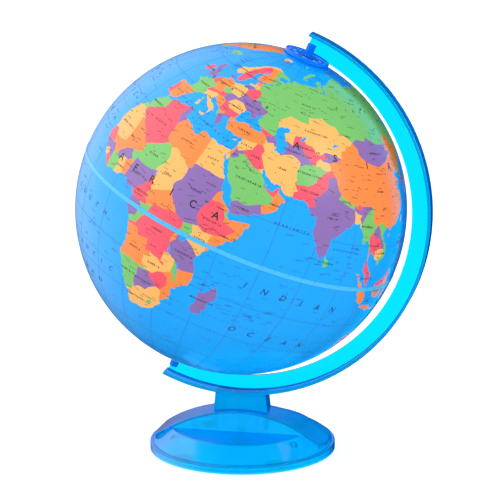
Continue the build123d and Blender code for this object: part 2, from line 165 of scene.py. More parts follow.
@dataclass(frozen=True)
class TintedStyrene:
    """See-through blue polystyrene, injection moulded in a polished tool.

    Thin walls look bright cyan and long paths through the plastic look deep blue, because the dye takes
    red at once, green slowly and blue hardly at all. A moulding is also a little milky, so it glows and hides
    what is inside it. Where a wall is seen at a flat angle, its colour is painted a deeper blue: painted shade.
    On the arm only the web is clear: the flange, the neck and the pin bosses are milky. Light that goes on to
    the floor or the ball passes the plastic freely, so it throws no dark shadow. The skin is glossy, with a
    faint waviness.
    """
    name: str
    dye: tuple[float, float, float]  # what the dye lets through, in linear light
    depth: float  # dye strength, per metre
    roughness: float = 0.06
    milk: float = 0.0  # how much of the light is scattered in the plastic
    milk_colour: str = "#FFFFFF"
    shine: float = 0.5  # how strongly the skin mirrors
    edge_colour: str = "#0060DC"  # painted shade: the deeper blue given to walls seen at a flat angle
    edge: float = 0.0  # how far the colour goes over to that painted shade
    edge_range: tuple[float, float] = (0.35, 0.95)  # how flat a view starts the painted shade, and completes it
    arm_about: "Ball | None" = None  # on the arm round this ball, only the web is clear
    web_end: tuple[float, float] = (144.0, 144.9)  # mm from the ball's centre, where the flange begins
    boss_side: tuple[float, float] = (3.45, 3.6)  # mm from the pins' axis, where a boss ends
    boss_top: tuple[float, float] = (138.9, 139.1)  # mm from the ball's centre, where a boss joins the web
    boss_colour: str = "#0078EA"
    wave: float = 7.0  # mm between the mould's soft waves
    wave_height: float = 0.02  # mm
    haze: float = 0.9  # mm, the fine cloudiness of the skin, drawn coarser than real

    def build(self) -> bpy.types.Material:
        """Builds the material."""
        material, tree, out = new_material(self.name)
        place = add_node(tree, "TexCoord").outputs["Object"]
        waves = add_node(tree, "TexNoise", inputs={"Scale": per_mm(self.wave), "Detail": 1.0},
            links={"Vector": place})
        cloud = add_node(tree, "TexNoise", inputs={"Scale": per_mm(self.haze), "Detail": 3.0},
            links={"Vector": place})
        rough = add_node(tree, "MapRange",
            inputs={"To Min": self.roughness * 0.7, "To Max": self.roughness * 1.4},
            links={"Value": cloud.outputs["Fac"]})
        bump = add_node(tree, "Bump", inputs={"Strength": 0.5, "Distance": self.wave_height * MM},
            links={"Height": waves.outputs["Fac"]})
        # painted shade: the colour goes over to a deeper blue where a wall is seen at a flat angle
        flat = add_node(tree, "LayerWeight", inputs={"Blend": 0.5}).outputs["Facing"]
        edge_shade_share = add_node(tree, "MapRange", settings={"interpolation_type": "SMOOTHSTEP"},
            inputs={"From Min": self.edge_range[0], "From Max": self.edge_range[1],
                "To Max": self.edge}, links={"Value": flat})
        tint = add_node(tree, "Mix", settings={"data_type": "RGBA"},
            inputs={6: linear(self.milk_colour), 7: linear(self.edge_colour)},
            links={0: edge_shade_share.outputs["Result"]}).outputs[2]
        shader = add_node(tree, "BsdfPrincipled", inputs={"IOR": 1.59, "Specular IOR Level": self.shine,
                "Transmission Weight": 1.0 - self.milk},
            links={"Base Color": tint, "Roughness": rough.outputs["Result"],
                "Normal": bump.outputs["Normal"]})
        if self.arm_about is not None:
            web, boss = self.web_and_boss(tree, place)
            through = add_node(tree, "MapRange", inputs={"To Min": 1.0 - self.milk}, links={"Value": web})
            clear = add_node(tree, "Math", settings={"operation": "SUBTRACT", "use_clamp": True},
                links={0: through.outputs["Result"], 1: boss})
            outer = add_node(tree, "Mix", settings={"data_type": "RGBA"},
                inputs={7: (1.0, 1.0, 1.0, 1.0)}, links={0: web, 6: tint})
            body = add_node(tree, "Mix", settings={"data_type": "RGBA"},
                inputs={7: linear(self.boss_colour)}, links={0: boss, 6: outer.outputs[2]})
            tree.links.new(clear.outputs[0], shader.inputs["Transmission Weight"])
            tree.links.new(body.outputs[2], shader.inputs["Base Color"])
        volume = add_node(tree, "VolumeAbsorption",
            inputs={"Color": (*self.dye, 1.0), "Density": self.depth})
        light_passes = add_node(tree, "BsdfTransparent")
        shadow = add_node(tree, "LightPath").outputs["Is Shadow Ray"]
        surface = add_node(tree, "MixShader",
            links={0: shadow, 1: shader.outputs["BSDF"], 2: light_passes.outputs["BSDF"]})
        tree.links.new(surface.outputs["Shader"], out.inputs["Surface"])
        tree.links.new(volume.outputs["Volume"], out.inputs["Volume"])
        return material

    def web_and_boss(self, tree: bpy.types.NodeTree,
            place: bpy.types.NodeSocket) -> tuple[bpy.types.NodeSocket, bpy.types.NodeSocket]:
        """Marks the arm's flat web and its two pin bosses.

        Args:
            tree: the material's nodes.
            place: position on the arm, in metres.

        Returns:
            A socket that is 1 in the web alone, and one that is 1 in the bosses alone.
        """
        reach = add_node(tree, "VectorMath", settings={"operation": "SUBTRACT"},
            inputs={1: tuple(self.arm_about.centre)}, links={0: place})
        length = add_node(tree, "VectorMath", settings={"operation": "LENGTH"},
            links={0: reach.outputs["Vector"]})
        sideways = add_node(tree, "VectorMath", settings={"operation": "CROSS_PRODUCT"},
            inputs={1: tuple(self.arm_about.frame()[2])}, links={0: reach.outputs["Vector"]})
        from_axis = add_node(tree, "VectorMath", settings={"operation": "LENGTH"},
            links={0: sideways.outputs["Vector"]})
        inner, on_axis, below = (
            add_node(tree, "MapRange",
                inputs={"From Min": start * MM, "From Max": end * MM, "To Min": 1.0, "To Max": 0.0},
                links={"Value": measured.outputs["Value"]}).outputs["Result"]
            for (start, end), measured in ((self.web_end, length), (self.boss_side, from_axis),
                (self.boss_top, length)))
        boss = add_node(tree, "Math", settings={"operation": "MULTIPLY"},
            links={0: on_axis, 1: below}).outputs[0]
        web = add_node(tree, "Math", settings={"operation": "SUBTRACT", "use_clamp": True},
            links={0: inner, 1: boss}).outputs[0]
        return web, boss


@dataclass(frozen=True)
class VarnishedPrint:
    """Litho-printed paper gores on the ball, under a satin varnish.

    Flat ink with a soft mottle, pale ridges where the relief is drawn, a fine paper fibre under the varnish
    and a broad milky shine.
    """
    name: str
    ink: str
    relief: float = 0.0  # how strongly the pale ridges show, 0 for sea
    ridge: float = 9.0  # mm across one mountain chain
    mottle: float = 22.0  # mm across one patch of uneven ink
    crest: str = "#FFF6EE"  # the pale colour of a ridge
    fibre: float = 0.5  # mm, drawn coarser than real paper fibre, which is 0.03 mm

    def build(self) -> bpy.types.Material:
        """Builds the material."""
        material, tree, out = new_material(self.name)
        place = add_node(tree, "TexCoord").outputs["Object"]
        base = linear(self.ink)
        patches = add_node(tree, "TexNoise", inputs={"Scale": per_mm(self.mottle), "Detail": 4.0},
            links={"Vector": place})
        uneven = add_node(tree, "MapRange", inputs={"From Min": 0.3, "From Max": 0.7, "To Max": 0.12},
            links={"Value": patches.outputs["Fac"]})
        inked = add_node(tree, "Mix", settings={"data_type": "RGBA"},
            inputs={6: base, 7: tuple(min(1.0, c * 1.08 + 0.03) for c in base[:3]) + (1.0,)},
            links={0: uneven.outputs["Result"]})
        colour = inked.outputs[2]
        if self.relief:
            ridges = add_node(tree, "TexNoise", settings={"noise_type": "RIDGED_MULTIFRACTAL"},
                inputs={"Scale": per_mm(self.ridge), "Detail": 5.0, "Roughness": 0.55},
                links={"Vector": place})
            height = add_node(tree, "MapRange",
                inputs={"From Min": 1.15, "From Max": 2.0, "To Max": self.relief},
                links={"Value": ridges.outputs["Fac"]})
            where = add_node(tree, "MapRange", inputs={"From Min": 0.48, "From Max": 0.62},
                links={"Value": patches.outputs["Fac"]})
            share = add_node(tree, "Math", settings={"operation": "MULTIPLY"},
                links={0: height.outputs["Result"], 1: where.outputs["Result"]})
            colour = add_node(tree, "Mix", settings={"data_type": "RGBA"}, inputs={7: linear(self.crest)},
                links={0: share.outputs[0], 6: colour}).outputs[2]
        fibres = add_node(tree, "TexNoise", inputs={"Scale": per_mm(self.fibre), "Detail": 2.0},
            links={"Vector": place})
        rough = add_node(tree, "MapRange", inputs={"To Min": 0.2, "To Max": 0.34},
            links={"Value": fibres.outputs["Fac"]})
        bump = add_node(tree, "Bump", inputs={"Strength": 0.25, "Distance": 0.02 * MM},
            links={"Height": fibres.outputs["Fac"]})
        shader = add_node(tree, "BsdfPrincipled",
            inputs={"IOR": 1.5, "Specular IOR Level": 0.4, "Coat Weight": 0.35,
                "Coat Roughness": 0.18, "Coat IOR": 1.5},
            links={"Base Color": colour, "Roughness": rough.outputs["Result"],
                "Normal": bump.outputs["Normal"]})
        tree.links.new(shader.outputs["BSDF"], out.inputs["Surface"])
        return material


@dataclass(frozen=True)
class PrintingInk:
    """Dark printing ink for names, lines and marks: flat, a little uneven, under the same satin varnish."""
    name: str
    ink: str
    grain: float = 0.4  # mm across one grain of the ink film

    def build(self) -> bpy.types.Material:
        """Builds the material."""
        material, tree, out = new_material(self.name)
        place = add_node(tree, "TexCoord").outputs["Object"]
        film = add_node(tree, "TexNoise", inputs={"Scale": per_mm(self.grain), "Detail": 2.0},
            links={"Vector": place})
        dark = linear(self.ink)
        thin = tuple(min(1.0, c * 1.5 + 0.02) for c in dark[:3]) + (1.0,)
        colour = add_node(tree, "Mix", settings={"data_type": "RGBA"}, inputs={6: dark, 7: thin},
            links={0: film.outputs["Fac"]})
        shader = add_node(tree, "BsdfPrincipled", inputs={"Roughness": 0.45, "IOR": 1.5},
            links={"Base Color": colour.outputs[2]})
        tree.links.new(shader.outputs["BSDF"], out.inputs["Surface"])
        return material


@dataclass(frozen=True)
class TapePrint:
    """Printed vinyl tape round the equator: pale cyan, with a darker tick at every so many degrees."""
    name: str
    ground: str
    ink: str
    tick_step: float = 5.0  # degrees between ticks
    tick_share: float = 0.07  # how much of a step is inked
    grain: float = 1.2  # mm across one patch of the vinyl's grain
    centre: tuple[float, float, float] = (0.0, 0.0, 0.0)
    lean: float = 0.0  # the axis's lean from upright, in radians

    def build(self) -> bpy.types.Material:
        """Builds the material."""
        material, tree, out = new_material(self.name)
        place = add_node(tree, "TexCoord").outputs["Object"]
        moved = add_node(tree, "VectorMath", settings={"operation": "SUBTRACT"},
            inputs={1: self.centre}, links={0: place})
        upright = add_node(tree, "VectorRotate", settings={"rotation_type": "Y_AXIS"},
            inputs={"Angle": -self.lean}, links={"Vector": moved.outputs[0]})
        split = add_node(tree, "SeparateXYZ", links={0: upright.outputs[0]})
        angle = add_node(tree, "Math", settings={"operation": "ARCTAN2"},
            links={0: split.outputs["Y"], 1: split.outputs["X"]})
        steps = add_node(tree, "Math", settings={"operation": "MULTIPLY"},
            inputs={1: 180.0 / math.pi / self.tick_step}, links={0: angle.outputs[0]})
        part = add_node(tree, "Math", settings={"operation": "FRACT"}, links={0: steps.outputs[0]})
        tick = add_node(tree, "Math", settings={"operation": "LESS_THAN"},
            inputs={1: self.tick_share}, links={0: part.outputs[0]})
        half = add_node(tree, "Math", settings={"operation": "GREATER_THAN"},
            inputs={1: 0.0}, links={0: split.outputs["Z"]})
        inked = add_node(tree, "Math", settings={"operation": "MULTIPLY"},
            links={0: tick.outputs[0], 1: half.outputs[0]})
        colour = add_node(tree, "Mix", settings={"data_type": "RGBA"},
            inputs={6: linear(self.ground), 7: linear(self.ink)}, links={0: inked.outputs[0]})
        grain = add_node(tree, "TexNoise", inputs={"Scale": per_mm(self.grain), "Detail": 2.0},
            links={"Vector": place})
        rough = add_node(tree, "MapRange", inputs={"To Min": 0.25, "To Max": 0.4},
            links={"Value": grain.outputs["Fac"]})
        shader = add_node(tree, "BsdfPrincipled", inputs={"IOR": 1.5, "Coat Weight": 0.3,
                "Coat Roughness": 0.2},
            links={"Base Color": colour.outputs[2], "Roughness": rough.outputs["Result"]})
        tree.links.new(shader.outputs["BSDF"], out.inputs["Surface"])
        return material


@dataclass(frozen=True)
class OpaqueMoulding:
    """An opaque moulded or cut part: nylon, white styrene or rubber, with a mould's faint grain."""
    name: str
    colour: str
    shade: str  # the darker colour of its grain
    grain: float  # mm across one grain
    roughness: float
    bump: float  # mm
    ior: float = 1.5

    def build(self) -> bpy.types.Material:
        """Builds the material."""
        material, tree, out = new_material(self.name)
        place = add_node(tree, "TexCoord").outputs["Object"]
        grain = add_node(tree, "TexNoise", inputs={"Scale": per_mm(self.grain), "Detail": 4.0},
            links={"Vector": place})
        colour = add_node(tree, "Mix", settings={"data_type": "RGBA"},
            inputs={6: linear(self.colour), 7: linear(self.shade)}, links={0: grain.outputs["Fac"]})
        rough = add_node(tree, "MapRange",
            inputs={"To Min": self.roughness * 0.85, "To Max": self.roughness * 1.15},
            links={"Value": grain.outputs["Fac"]})
        bump = add_node(tree, "Bump", inputs={"Strength": 0.6, "Distance": self.bump * MM},
            links={"Height": grain.outputs["Fac"]})
        shader = add_node(tree, "BsdfPrincipled", inputs={"IOR": self.ior},
            links={"Base Color": colour.outputs[2], "Roughness": rough.outputs["Result"],
                "Normal": bump.outputs["Normal"]})
        tree.links.new(shader.outputs["BSDF"], out.inputs["Surface"])
        return material


@dataclass(frozen=True)
class WorkedSteel:
    """Drawn or zinc-plated steel: bright metal with fine lines from the drawing die or a plated bloom."""
    name: str
    colour: str
    bloom: str  # the second colour of its patches
    patch: float  # mm across one patch
    roughness: float
    lines: float = 8.0  # how many fine lines cross one patch

    def build(self) -> bpy.types.Material:
        """Builds the material."""
        material, tree, out = new_material(self.name)
        place = add_node(tree, "TexCoord").outputs["Object"]
        patches = add_node(tree, "TexNoise", inputs={"Scale": per_mm(self.patch), "Detail": 3.0},
            links={"Vector": place})
        colour = add_node(tree, "Mix", settings={"data_type": "RGBA"},
            inputs={6: linear(self.colour), 7: linear(self.bloom)}, links={0: patches.outputs["Fac"]})
        fine = add_node(tree, "TexNoise", inputs={"Scale": per_mm(self.patch / self.lines), "Detail": 2.0},
            links={"Vector": place})
        rough = add_node(tree, "MapRange",
            inputs={"To Min": self.roughness * 0.7, "To Max": self.roughness * 1.3},
            links={"Value": fine.outputs["Fac"]})
        shader = add_node(tree, "BsdfPrincipled", inputs={"Metallic": 1.0},
            links={"Base Color": colour.outputs[2], "Roughness": rough.outputs["Result"]})
        tree.links.new(shader.outputs["BSDF"], out.inputs["Surface"])
        return material


class Ink(Enum):
    """The printed colours of the map."""
    SEA = "#00A5FF"
    GREEN = "#78C46B"
    ORANGE = "#FA8A42"
    YELLOW = "#F8B864"
    RED = "#F4566A"
    PURPLE = "#8D6CB2"
    ICE = "#F6EBDD"
    PAPER = "#F2EFE8"


# -------------------- the map's shapes
# Every outline is drawn as "longitude latitude" corners in degrees, east and north positive. A comma
# stands between corners and a semicolon after each outline.

LANDS = """
Africa: -5.9 35.8,-2.1 35.1,1.2 36.5,5 36.8,9.8 37.3,11 36.9,10.5 35.8,10.1 33.9,11.2 33.2,13.2 32.9,
15.2 32.3,16 31.3,18.9 30.3,20 30.9,20.1 32.2,21.6 32.9,23.2 32.3,25 31.7,29 30.9,30.5 31.5,32.3 31.3,
32.6 29.9,33.6 27.8,35.5 24,37.2 21,37.4 18.8,38.6 18,39.3 15.9,41.2 14.6,43.1 12.7,43.3 11.5,44.5 10.4,
47 11.2,51.2 11.9,51 10.4,50 8,48 4.5,45.5 2.2,43 0,41 -2,39.5 -4.5,38.8 -6.5,39.5 -8,40.4 -10.5,40.6 -14,
40 -16,37 -17.8,34.8 -19.8,35.4 -22,35.5 -24,32.8 -25.8,32.8 -28,31 -29.9,28.5 -32.8,25.7 -34,22 -34.2,
20 -34.8,18.4 -34,18.2 -31.8,16.5 -28.6,15 -25.5,14.4 -22.5,12.5 -18.5,11.8 -16,13.5 -12.5,13.2 -9,12.2 -6,
11.5 -4.2,8.8 -0.7,9.4 1,9.8 3,8.5 4.6,6 4.3,4.5 6.3,2 6.3,0 5.6,-2 4.8,-4.5 5.2,-7.5 4.4,-11.4 6.9,
-13.2 8.8,-15 11,-16.7 12.5,-17.4 14.7,-16.5 16,-16.2 19,-17 21,-16 23.8,-14.5 26.2,-12.9 27.9,-9.7 30.2,
-9.6 31.5,-8.5 33.3,-6.8 34.1;
Eurasia: -5.6 36.1,-8.9 37,-9.4 38.8,-8.8 41.2,-9.2 43.1,-8 43.7,-4 43.4,-1.8 43.4,-1.2 46,-2.5 47.4,
-4.6 48.3,-1.6 48.6,-1.8 49.7,0.1 49.5,1.6 50.4,2.5 51.1,4.2 52,4.8 53,7 53.5,8.8 53.9,8.2 55.5,8.2 56.8,
10.6 57.7,10.3 56.5,9.8 55.2,10 54.5,12.4 54.3,14.2 54,16.5 54.4,18.6 54.7,21.1 55.7,21 57,24.2 57.1,
23.5 59.2,28 59.6,30 59.9,28 60.5,25 60.2,22.9 59.9,21.4 61,21.3 62.8,25.3 65,24.2 65.8,22.3 65.8,
20.3 63.7,17.5 62.2,17.2 60.7,18.9 59.9,16.7 57.9,16.4 56.7,14.3 55.5,12.9 55.5,11.8 57.7,11.2 59,
10.6 59.6,9.8 59,8 58.1,5.6 58.9,5.1 60.5,5 62,10.5 64.5,12.5 66,14.5 68,17 69.2,20 70,25.7 71,31 70.3,
33 69.3,37 68.7,41 67.5,40.5 66.3,33 66.7,34.8 64.5,38 64.8,40.5 64.6,40 65.7,42.5 66.4,44 66,44 68,46 68,
48 67.6,54 68.3,60 68.7,65 69.2,68.5 68.3,67 69.6,66.8 71.3,69.5 73,72.7 72.8,71.8 71,72.8 69,72 66.2,
74.5 68,73.6 71.6,80 72.5,81 73.6,87 75,93 76,104.2 77.7,107 76.5,113 75.6,110 73.9,118 73.1,123.5 73,
127 73.5,129.5 71.2,140 72.6,152.5 70.9,160 69.7,170 69.9,176 69.8,180 68.9,186 67,190.2 66.1,187.5 65,
181 66,177.5 64.7,179 62.5,174 61.8,170 60,166 60,163 58,162.5 56.2,159 53,156.7 51,155.8 55,160 60.5,
163.5 62.4,156 61.6,155 59.4,143 59.3,135.2 54.7,141.2 53.2,140.5 51,140.4 48.5,138 46.3,135.3 44,132 43.2,
129.7 41,127.6 39.6,128.6 38,129.4 36.5,129 35.2,126.4 34.5,126.7 37.8,124.8 38,124.3 39.9,121.3 38.9,
121.9 40.6,119.2 39.4,117.7 39,119 37.4,122.4 37.2,119.2 35,121.8 31.9,121.9 30,121.6 28.5,119.7 26,
118 24.4,114.2 22.3,111.5 21.6,110.3 20.3,109.8 21.4,108 21.6,105.8 18.8,107.5 16.7,109 14.8,109.3 12,
107 10.5,105 8.7,104.9 10,103 11,102 12.3,100.9 12.8,100.5 13.5,99.3 10,100.4 8.3,101.5 6.9,103.4 4.5,
104.2 1.4,101.3 2.9,100.4 5.5,98.4 9.5,98.7 12,97.2 17,95.4 15.8,94.3 16,94.3 18.5,92.3 20.8,91.8 22.5,
90.3 21.9,88 21.7,85.2 19.6,82.3 16.7,80.3 15.6,80.3 13.2,79.8 10.3,78.2 8.9,77.5 8.1,76.3 10,74.8 13,
72.8 19,72.7 21.3,70.5 20.8,69 22.3,68.2 23.7,67 24.8,61.5 25.1,57.3 25.7,56.5 27.1,54 26.6,51.5 27.8,
48.6 30,48 29.5,48.8 27.6,50.2 26.5,50.8 24.8,51.5 25.9,51.6 24.3,54 24.1,56.4 26.3,56.5 24.4,58.6 23.6,
59.8 22.5,58 20.3,57.5 18.8,55.2 17.4,52.2 15.6,48.7 14,45 12.8,43.5 12.7,42.8 15,42.5 16.8,39.1 21.4,
37.2 24.8,35.2 28,35 29.5,34.3 27.8,32.6 29.9,32.3 31.3,34.3 31.3,35.1 33,36 36.7,34 36.3,32.3 36.1,
30.7 36.8,27.4 37,26.2 40,29 41.1,31.5 41.3,35 42,38 41,41.5 41.5,37.5 44.8,39.2 47.1,35 46.2,36.5 45.3,
34 44.4,33 46.1,31 46.6,29.7 45.2,28.6 43.7,28.5 41.5,28.2 41,26.3 40.5,24 40.8,22.8 40.4,24 38,23.1 36.5,
21.7 36.9,21.2 38.3,19.5 40.5,19.4 41.8,16.5 43.3,13.6 45,12.4 45.3,12.6 44,14 42.6,16.1 41.8,18.5 40.2,
17 40.5,16.6 39.4,15.7 37.95,16 39,14 40.7,12.3 41.8,10.4 43.2,9 44.4,7.4 43.7,5 43.3,3.1 42.5,2.2 41.3,
-0.2 39.4,-0.5 38,-2 36.8;
Americas: -168 65.6,-162 66.2,-166.5 68.3,-156.5 71.3,-150 70.5,-141 69.7,-135 69,-128 70,-120 69.4,
-115 68.8,-108 67.8,-96 68,-96 71,-94.5 72,-92.5 70,-88 68.5,-85.5 69.5,-82 69.5,-81.5 67,-86.5 66.3,
-87 64.5,-93.5 63,-94.5 61,-94.7 58.8,-92.5 57,-88 56.5,-82.3 55.2,-82.2 52.9,-79 51.3,-79.5 54.7,
-76.6 57.2,-77.3 60,-78 62.4,-73.5 62.3,-69.5 58.9,-65.5 60,-62 57.5,-57.5 54.5,-55.7 52.4,-60 50.2,
-66.5 50.2,-69 48.5,-64.3 48.8,-64 46.2,-60 46.3,-65.5 43.5,-64.8 45.3,-67 44.8,-70 43.7,-70 41.7,-74 40.6,
-75.5 38.5,-75.6 35.3,-78 34,-81 32,-81.3 30,-80 26.8,-80.4 25.2,-81.8 26.2,-82.8 28.5,-84 30,-89 30.3,
-89.3 29.1,-94.7 29.4,-97.3 27.5,-97.7 22,-96 19,-94.5 18.2,-92 18.6,-90.5 21,-87 21.5,-87.8 18.5,-88.5 16,
-86 15.8,-83.3 15,-83.5 11,-82 9.2,-79.7 9.5,-77.4 8.6,-75.5 10.6,-71.6 12.3,-71.5 10.8,-68 10.5,-62 10.7,
-61 9,-57 6,-52 4.8,-50 1,-48.5 -0.5,-44.3 -2.6,-40 -2.9,-37.2 -4.8,-35.2 -5.5,-34.9 -8,-37 -11,-39 -13.5,
-39.2 -17.5,-41 -22,-44.5 -23,-48 -25.3,-48.7 -28.3,-52 -33,-54 -34.8,-57.8 -34.5,-57.2 -36.3,-57.6 -38,
-62 -39,-65 -41,-63.8 -42.5,-65.5 -45,-67.5 -46.2,-65.8 -47.8,-68.8 -50.2,-68.5 -52.5,-65.3 -54.8,
-68.5 -55.5,-72 -53.8,-74.5 -51,-75.5 -48,-74 -44,-73.5 -38,-71.5 -30,-70.3 -24,-70.2 -18.4,-76.2 -13.8,
-79.5 -7.5,-81.2 -5,-80.9 -1.5,-80 0.8,-77.3 4,-77.6 7,-78.3 8.5,-80 7.4,-83.6 8.6,-85.7 10.2,-87.6 12.9,
-91.5 14,-94 16.1,-96.5 15.7,-101.5 17.8,-105.5 20.2,-108.5 25.2,-112.3 29,-114.7 31.6,-111 26,-109.5 23.2,
-112 25.8,-115 28,-117 32.3,-120.5 34.5,-124 39.8,-124.5 43,-124.6 48.3,-122.5 48.2,-123 49.2,-127.5 51,
-130 54,-135 58.5,-139.5 59.7,-148 60.2,-151.5 59.3,-158 56.3,-163 54.8,-157.5 58.6,-162 58.8,-165 61,
-164.5 63,-161 64.5,-166 64.4;
Greenland: -73 78.2,-66 79.5,-60 82,-45 82.5,-32 83.5,-22 82.5,-12 81.5,-18 79,-19 76,-22 71.5,-32 68,
-40 65,-43.5 60,-48 61,-52 64,-53.5 67,-51 69.5,-54.5 72,-58 75.5,-68 76;
Australia: 114 -22,113.6 -24.5,115.5 -31.8,115 -34.2,118 -35,123.5 -33.9,126 -32.3,131 -31.5,134 -32.8,
135.7 -34.9,137.8 -32.7,138.3 -35.5,140.5 -38,143.5 -38.8,146.3 -39,150 -37.3,151.5 -33,153.2 -29,
153.2 -25,150.8 -23,146.3 -19,145.4 -15,143.6 -14.2,142.5 -10.8,141.6 -13.5,140.8 -17.5,139 -17.4,
135.5 -14.9,136.8 -12.2,132.8 -11.4,130.7 -12.5,129.5 -14.9,127 -13.9,124 -16.3,122.2 -18,119 -20;
Antarctica: -190 -78,-180 -78.3,-165 -78,-150 -77,-135 -74.5,-120 -74,-105 -74.5,-90 -73,-75 -73,-68 -69,
-67 -66.5,-60 -63.5,-57.5 -63.3,-62 -70,-61 -74,-75 -77,-45 -78,-35 -78.2,-25 -76,-18 -73,-10 -71,0 -70.3,
15 -70,30 -69.3,50 -66.6,60 -67.2,72 -69.5,78 -68.8,88 -66.6,115 -66.6,130 -66,142 -66.8,155 -69,170 -72,
164 -75,163 -78,180 -78.3,190 -78,190 -89,-190 -89;
Great_Britain: -5.5 50.1,1.4 51.2,1.7 52.6,0.2 53.3,-1.5 55,-2 57.5,-3 58.6,-5 58.6,-6.2 56.7,-4.9 54.8,
-3 54,-4.5 53.3,-4.6 52,-3.2 51.4;
Ireland: -6 52.2,-6 53.5,-5.6 54.6,-7.3 55.3,-10 54.2,-10.3 51.8;
Iceland: -22.5 64,-18.7 63.4,-13.6 65,-16 66.5,-22 66.4,-24 65.5;
Svalbard: 11 79,17 76.6,21 78.3,27 80,20 80.5,12 80;
Novaya_Zemlya: 52 71,57 70.6,56 73,62 75,69 76.8,61 76.3,54 73.5;
Severnaya_Zemlya: 96 79,105 78.5,103 79.5,95 81;
New_Siberian: 138 75,150 75,142 74;
Franz_Josef: 50 80.3,58 80,62 81,52 81;
Sakhalin: 142 46,143.5 49.3,142.5 54.3,141.8 50;
Hokkaido: 140 42,145.3 43.3,142 45.4,141.3 43.2;
Honshu: 131 34,135.8 33.5,139.8 35,140.8 36,142 39.5,141.4 41.4,140 40.5,137 36.8,133 35.5;
Kyushu: 130 33.5,131.8 33.3,131.3 31.4,130.2 31.3;
Shikoku: 132.5 33.8,134.5 34.2,134.2 33.3;
Taiwan: 121.5 25.2,120.9 22,120.1 23;
Hainan: 108.7 19.2,110.9 19.9,110 18.4;
Luzon: 120.3 16,120.6 18.5,122.2 18.4,121.6 16,124 12.7,121 13.7;
Mindanao: 122 7,123.6 8.6,125.5 9.7,126.4 8,125.6 5.8;
Visayas: 122 11.5,125.3 12.3,125.2 10.5,123.3 9.3;
Palawan: 117.2 8.5,119.4 11.3,119.6 10.5;
Borneo: 109 1.5,109.6 2,113 3.2,116.7 7,119.2 5.2,117.8 3.7,119 1,117.5 0,116.3 -2,116 -3.8,114.5 -4,
111.7 -3.4,110 -1.5;
Sumatra: 95.3 5.6,97.5 5.2,100.4 2.3,103.6 -0.5,106 -3,105.8 -5.8,104.5 -5.8,100.4 -1,98.7 1.7;
Java: 105.2 -6.7,108.6 -6.6,112.7 -6.9,114.5 -7.8,114.4 -8.7,110 -8,106.5 -7.4;
Lesser_Sunda: 115.1 -8.2,123 -8.4,122.8 -8.8,115.2 -8.8;
Timor: 123.6 -10.3,127.3 -8.4,126.5 -9;
Sulawesi: 119.8 0,120.8 1.3,125.2 1.6,120.3 0.5,121 -1,123.3 -1,121.7 -2,123 -4.5,121.5 -3.8,120.4 -5.6,
119.5 -5.4,118.9 -2.7;
Halmahera: 127.5 1,128.3 2,128.6 0.7,128 -0.8;
New_Guinea: 131 -0.8,134 -0.9,135 -3.3,138 -1.7,141 -2.6,144.5 -3.8,147.8 -6,150.8 -10.5,147 -9.5,
144.7 -7.6,142.5 -9.3,139 -8.1,138.3 -6,135.5 -4.4,132.8 -4;
New_Britain: 148.4 -5.7,152 -4.2,150 -6.3;
Madagascar: 49.2 -12,50.5 -15.5,49.5 -18,47.5 -24.8,45 -25.5,43.4 -22.5,44.4 -19.8,44.4 -16.2,46.5 -15.7,
48 -13.5;
Sri_Lanka: 80 9.7,81.2 8.6,81.8 7,80.6 5.9,79.8 7;
Sicily: 12.5 38,15.6 38.2,15.1 36.7;
Sardinia: 8.2 39,8.2 41,9.4 41.2,9.7 39.3;
Corsica: 8.6 42.5,9.4 43,9.3 41.4;
Crete: 23.6 35.5,26.3 35.2,24.8 34.9;
Cyprus: 32.3 34.9,34.5 35.6,33.6 34.8;
Baffin: -65 62,-66 65,-62 66.8,-68 69,-73 71.5,-80 73.7,-89 73,-80 69.8,-73 67.8,-73 65,-78 64.5,-72 62.5;
Victoria_Island: -117 70,-105 69,-101 69.8,-105 72.8,-113 73,-118 71.5;
Banks: -125 72,-120 71.5,-117 73.3,-123 74.5;
Ellesmere: -90 76.5,-78 76.5,-75 79,-62 82.5,-75 83,-90 81.8,-86 79.5;
Devon: -92 76.5,-80 75.8,-80 74.7,-92 74.8;
Melville: -115 75,-106 75,-108 76.5,-117 76.3;
Newfoundland: -59 47.7,-53 46.8,-53 48.5,-55.6 51.5,-57.5 50.5;
Southampton: -87 64,-80 63.8,-84 66;
Vancouver_Island: -128 50.7,-125 50,-123.5 48.5,-125.5 49;
Cuba: -84.8 22,-82.5 23.1,-77 21.8,-74.2 20.2,-77.5 19.9;
Hispaniola: -74.4 18.5,-72.5 19.9,-68.4 18.5,-71.5 17.8;
Jamaica: -78.3 18.3,-76.3 18.1,-77.2 17.8;
Puerto_Rico: -67.2 18.4,-65.7 18.3,-67 18;
Tasmania: 144.7 -40.8,148.2 -40.9,147.8 -43.2,146 -43.5;
North_Island: 172.7 -34.5,175 -36.5,178.5 -37.7,175.2 -41.5,173.8 -39.3,174.7 -37.5;
South_Island: 172.7 -40.6,174.2 -41.6,172.8 -43.8,170.6 -46,168.4 -46.6,166.6 -45.8,168.5 -44,171.5 -41.8;
New_Caledonia: 164 -20.3,167 -22.3,166.3 -22.2;
"""

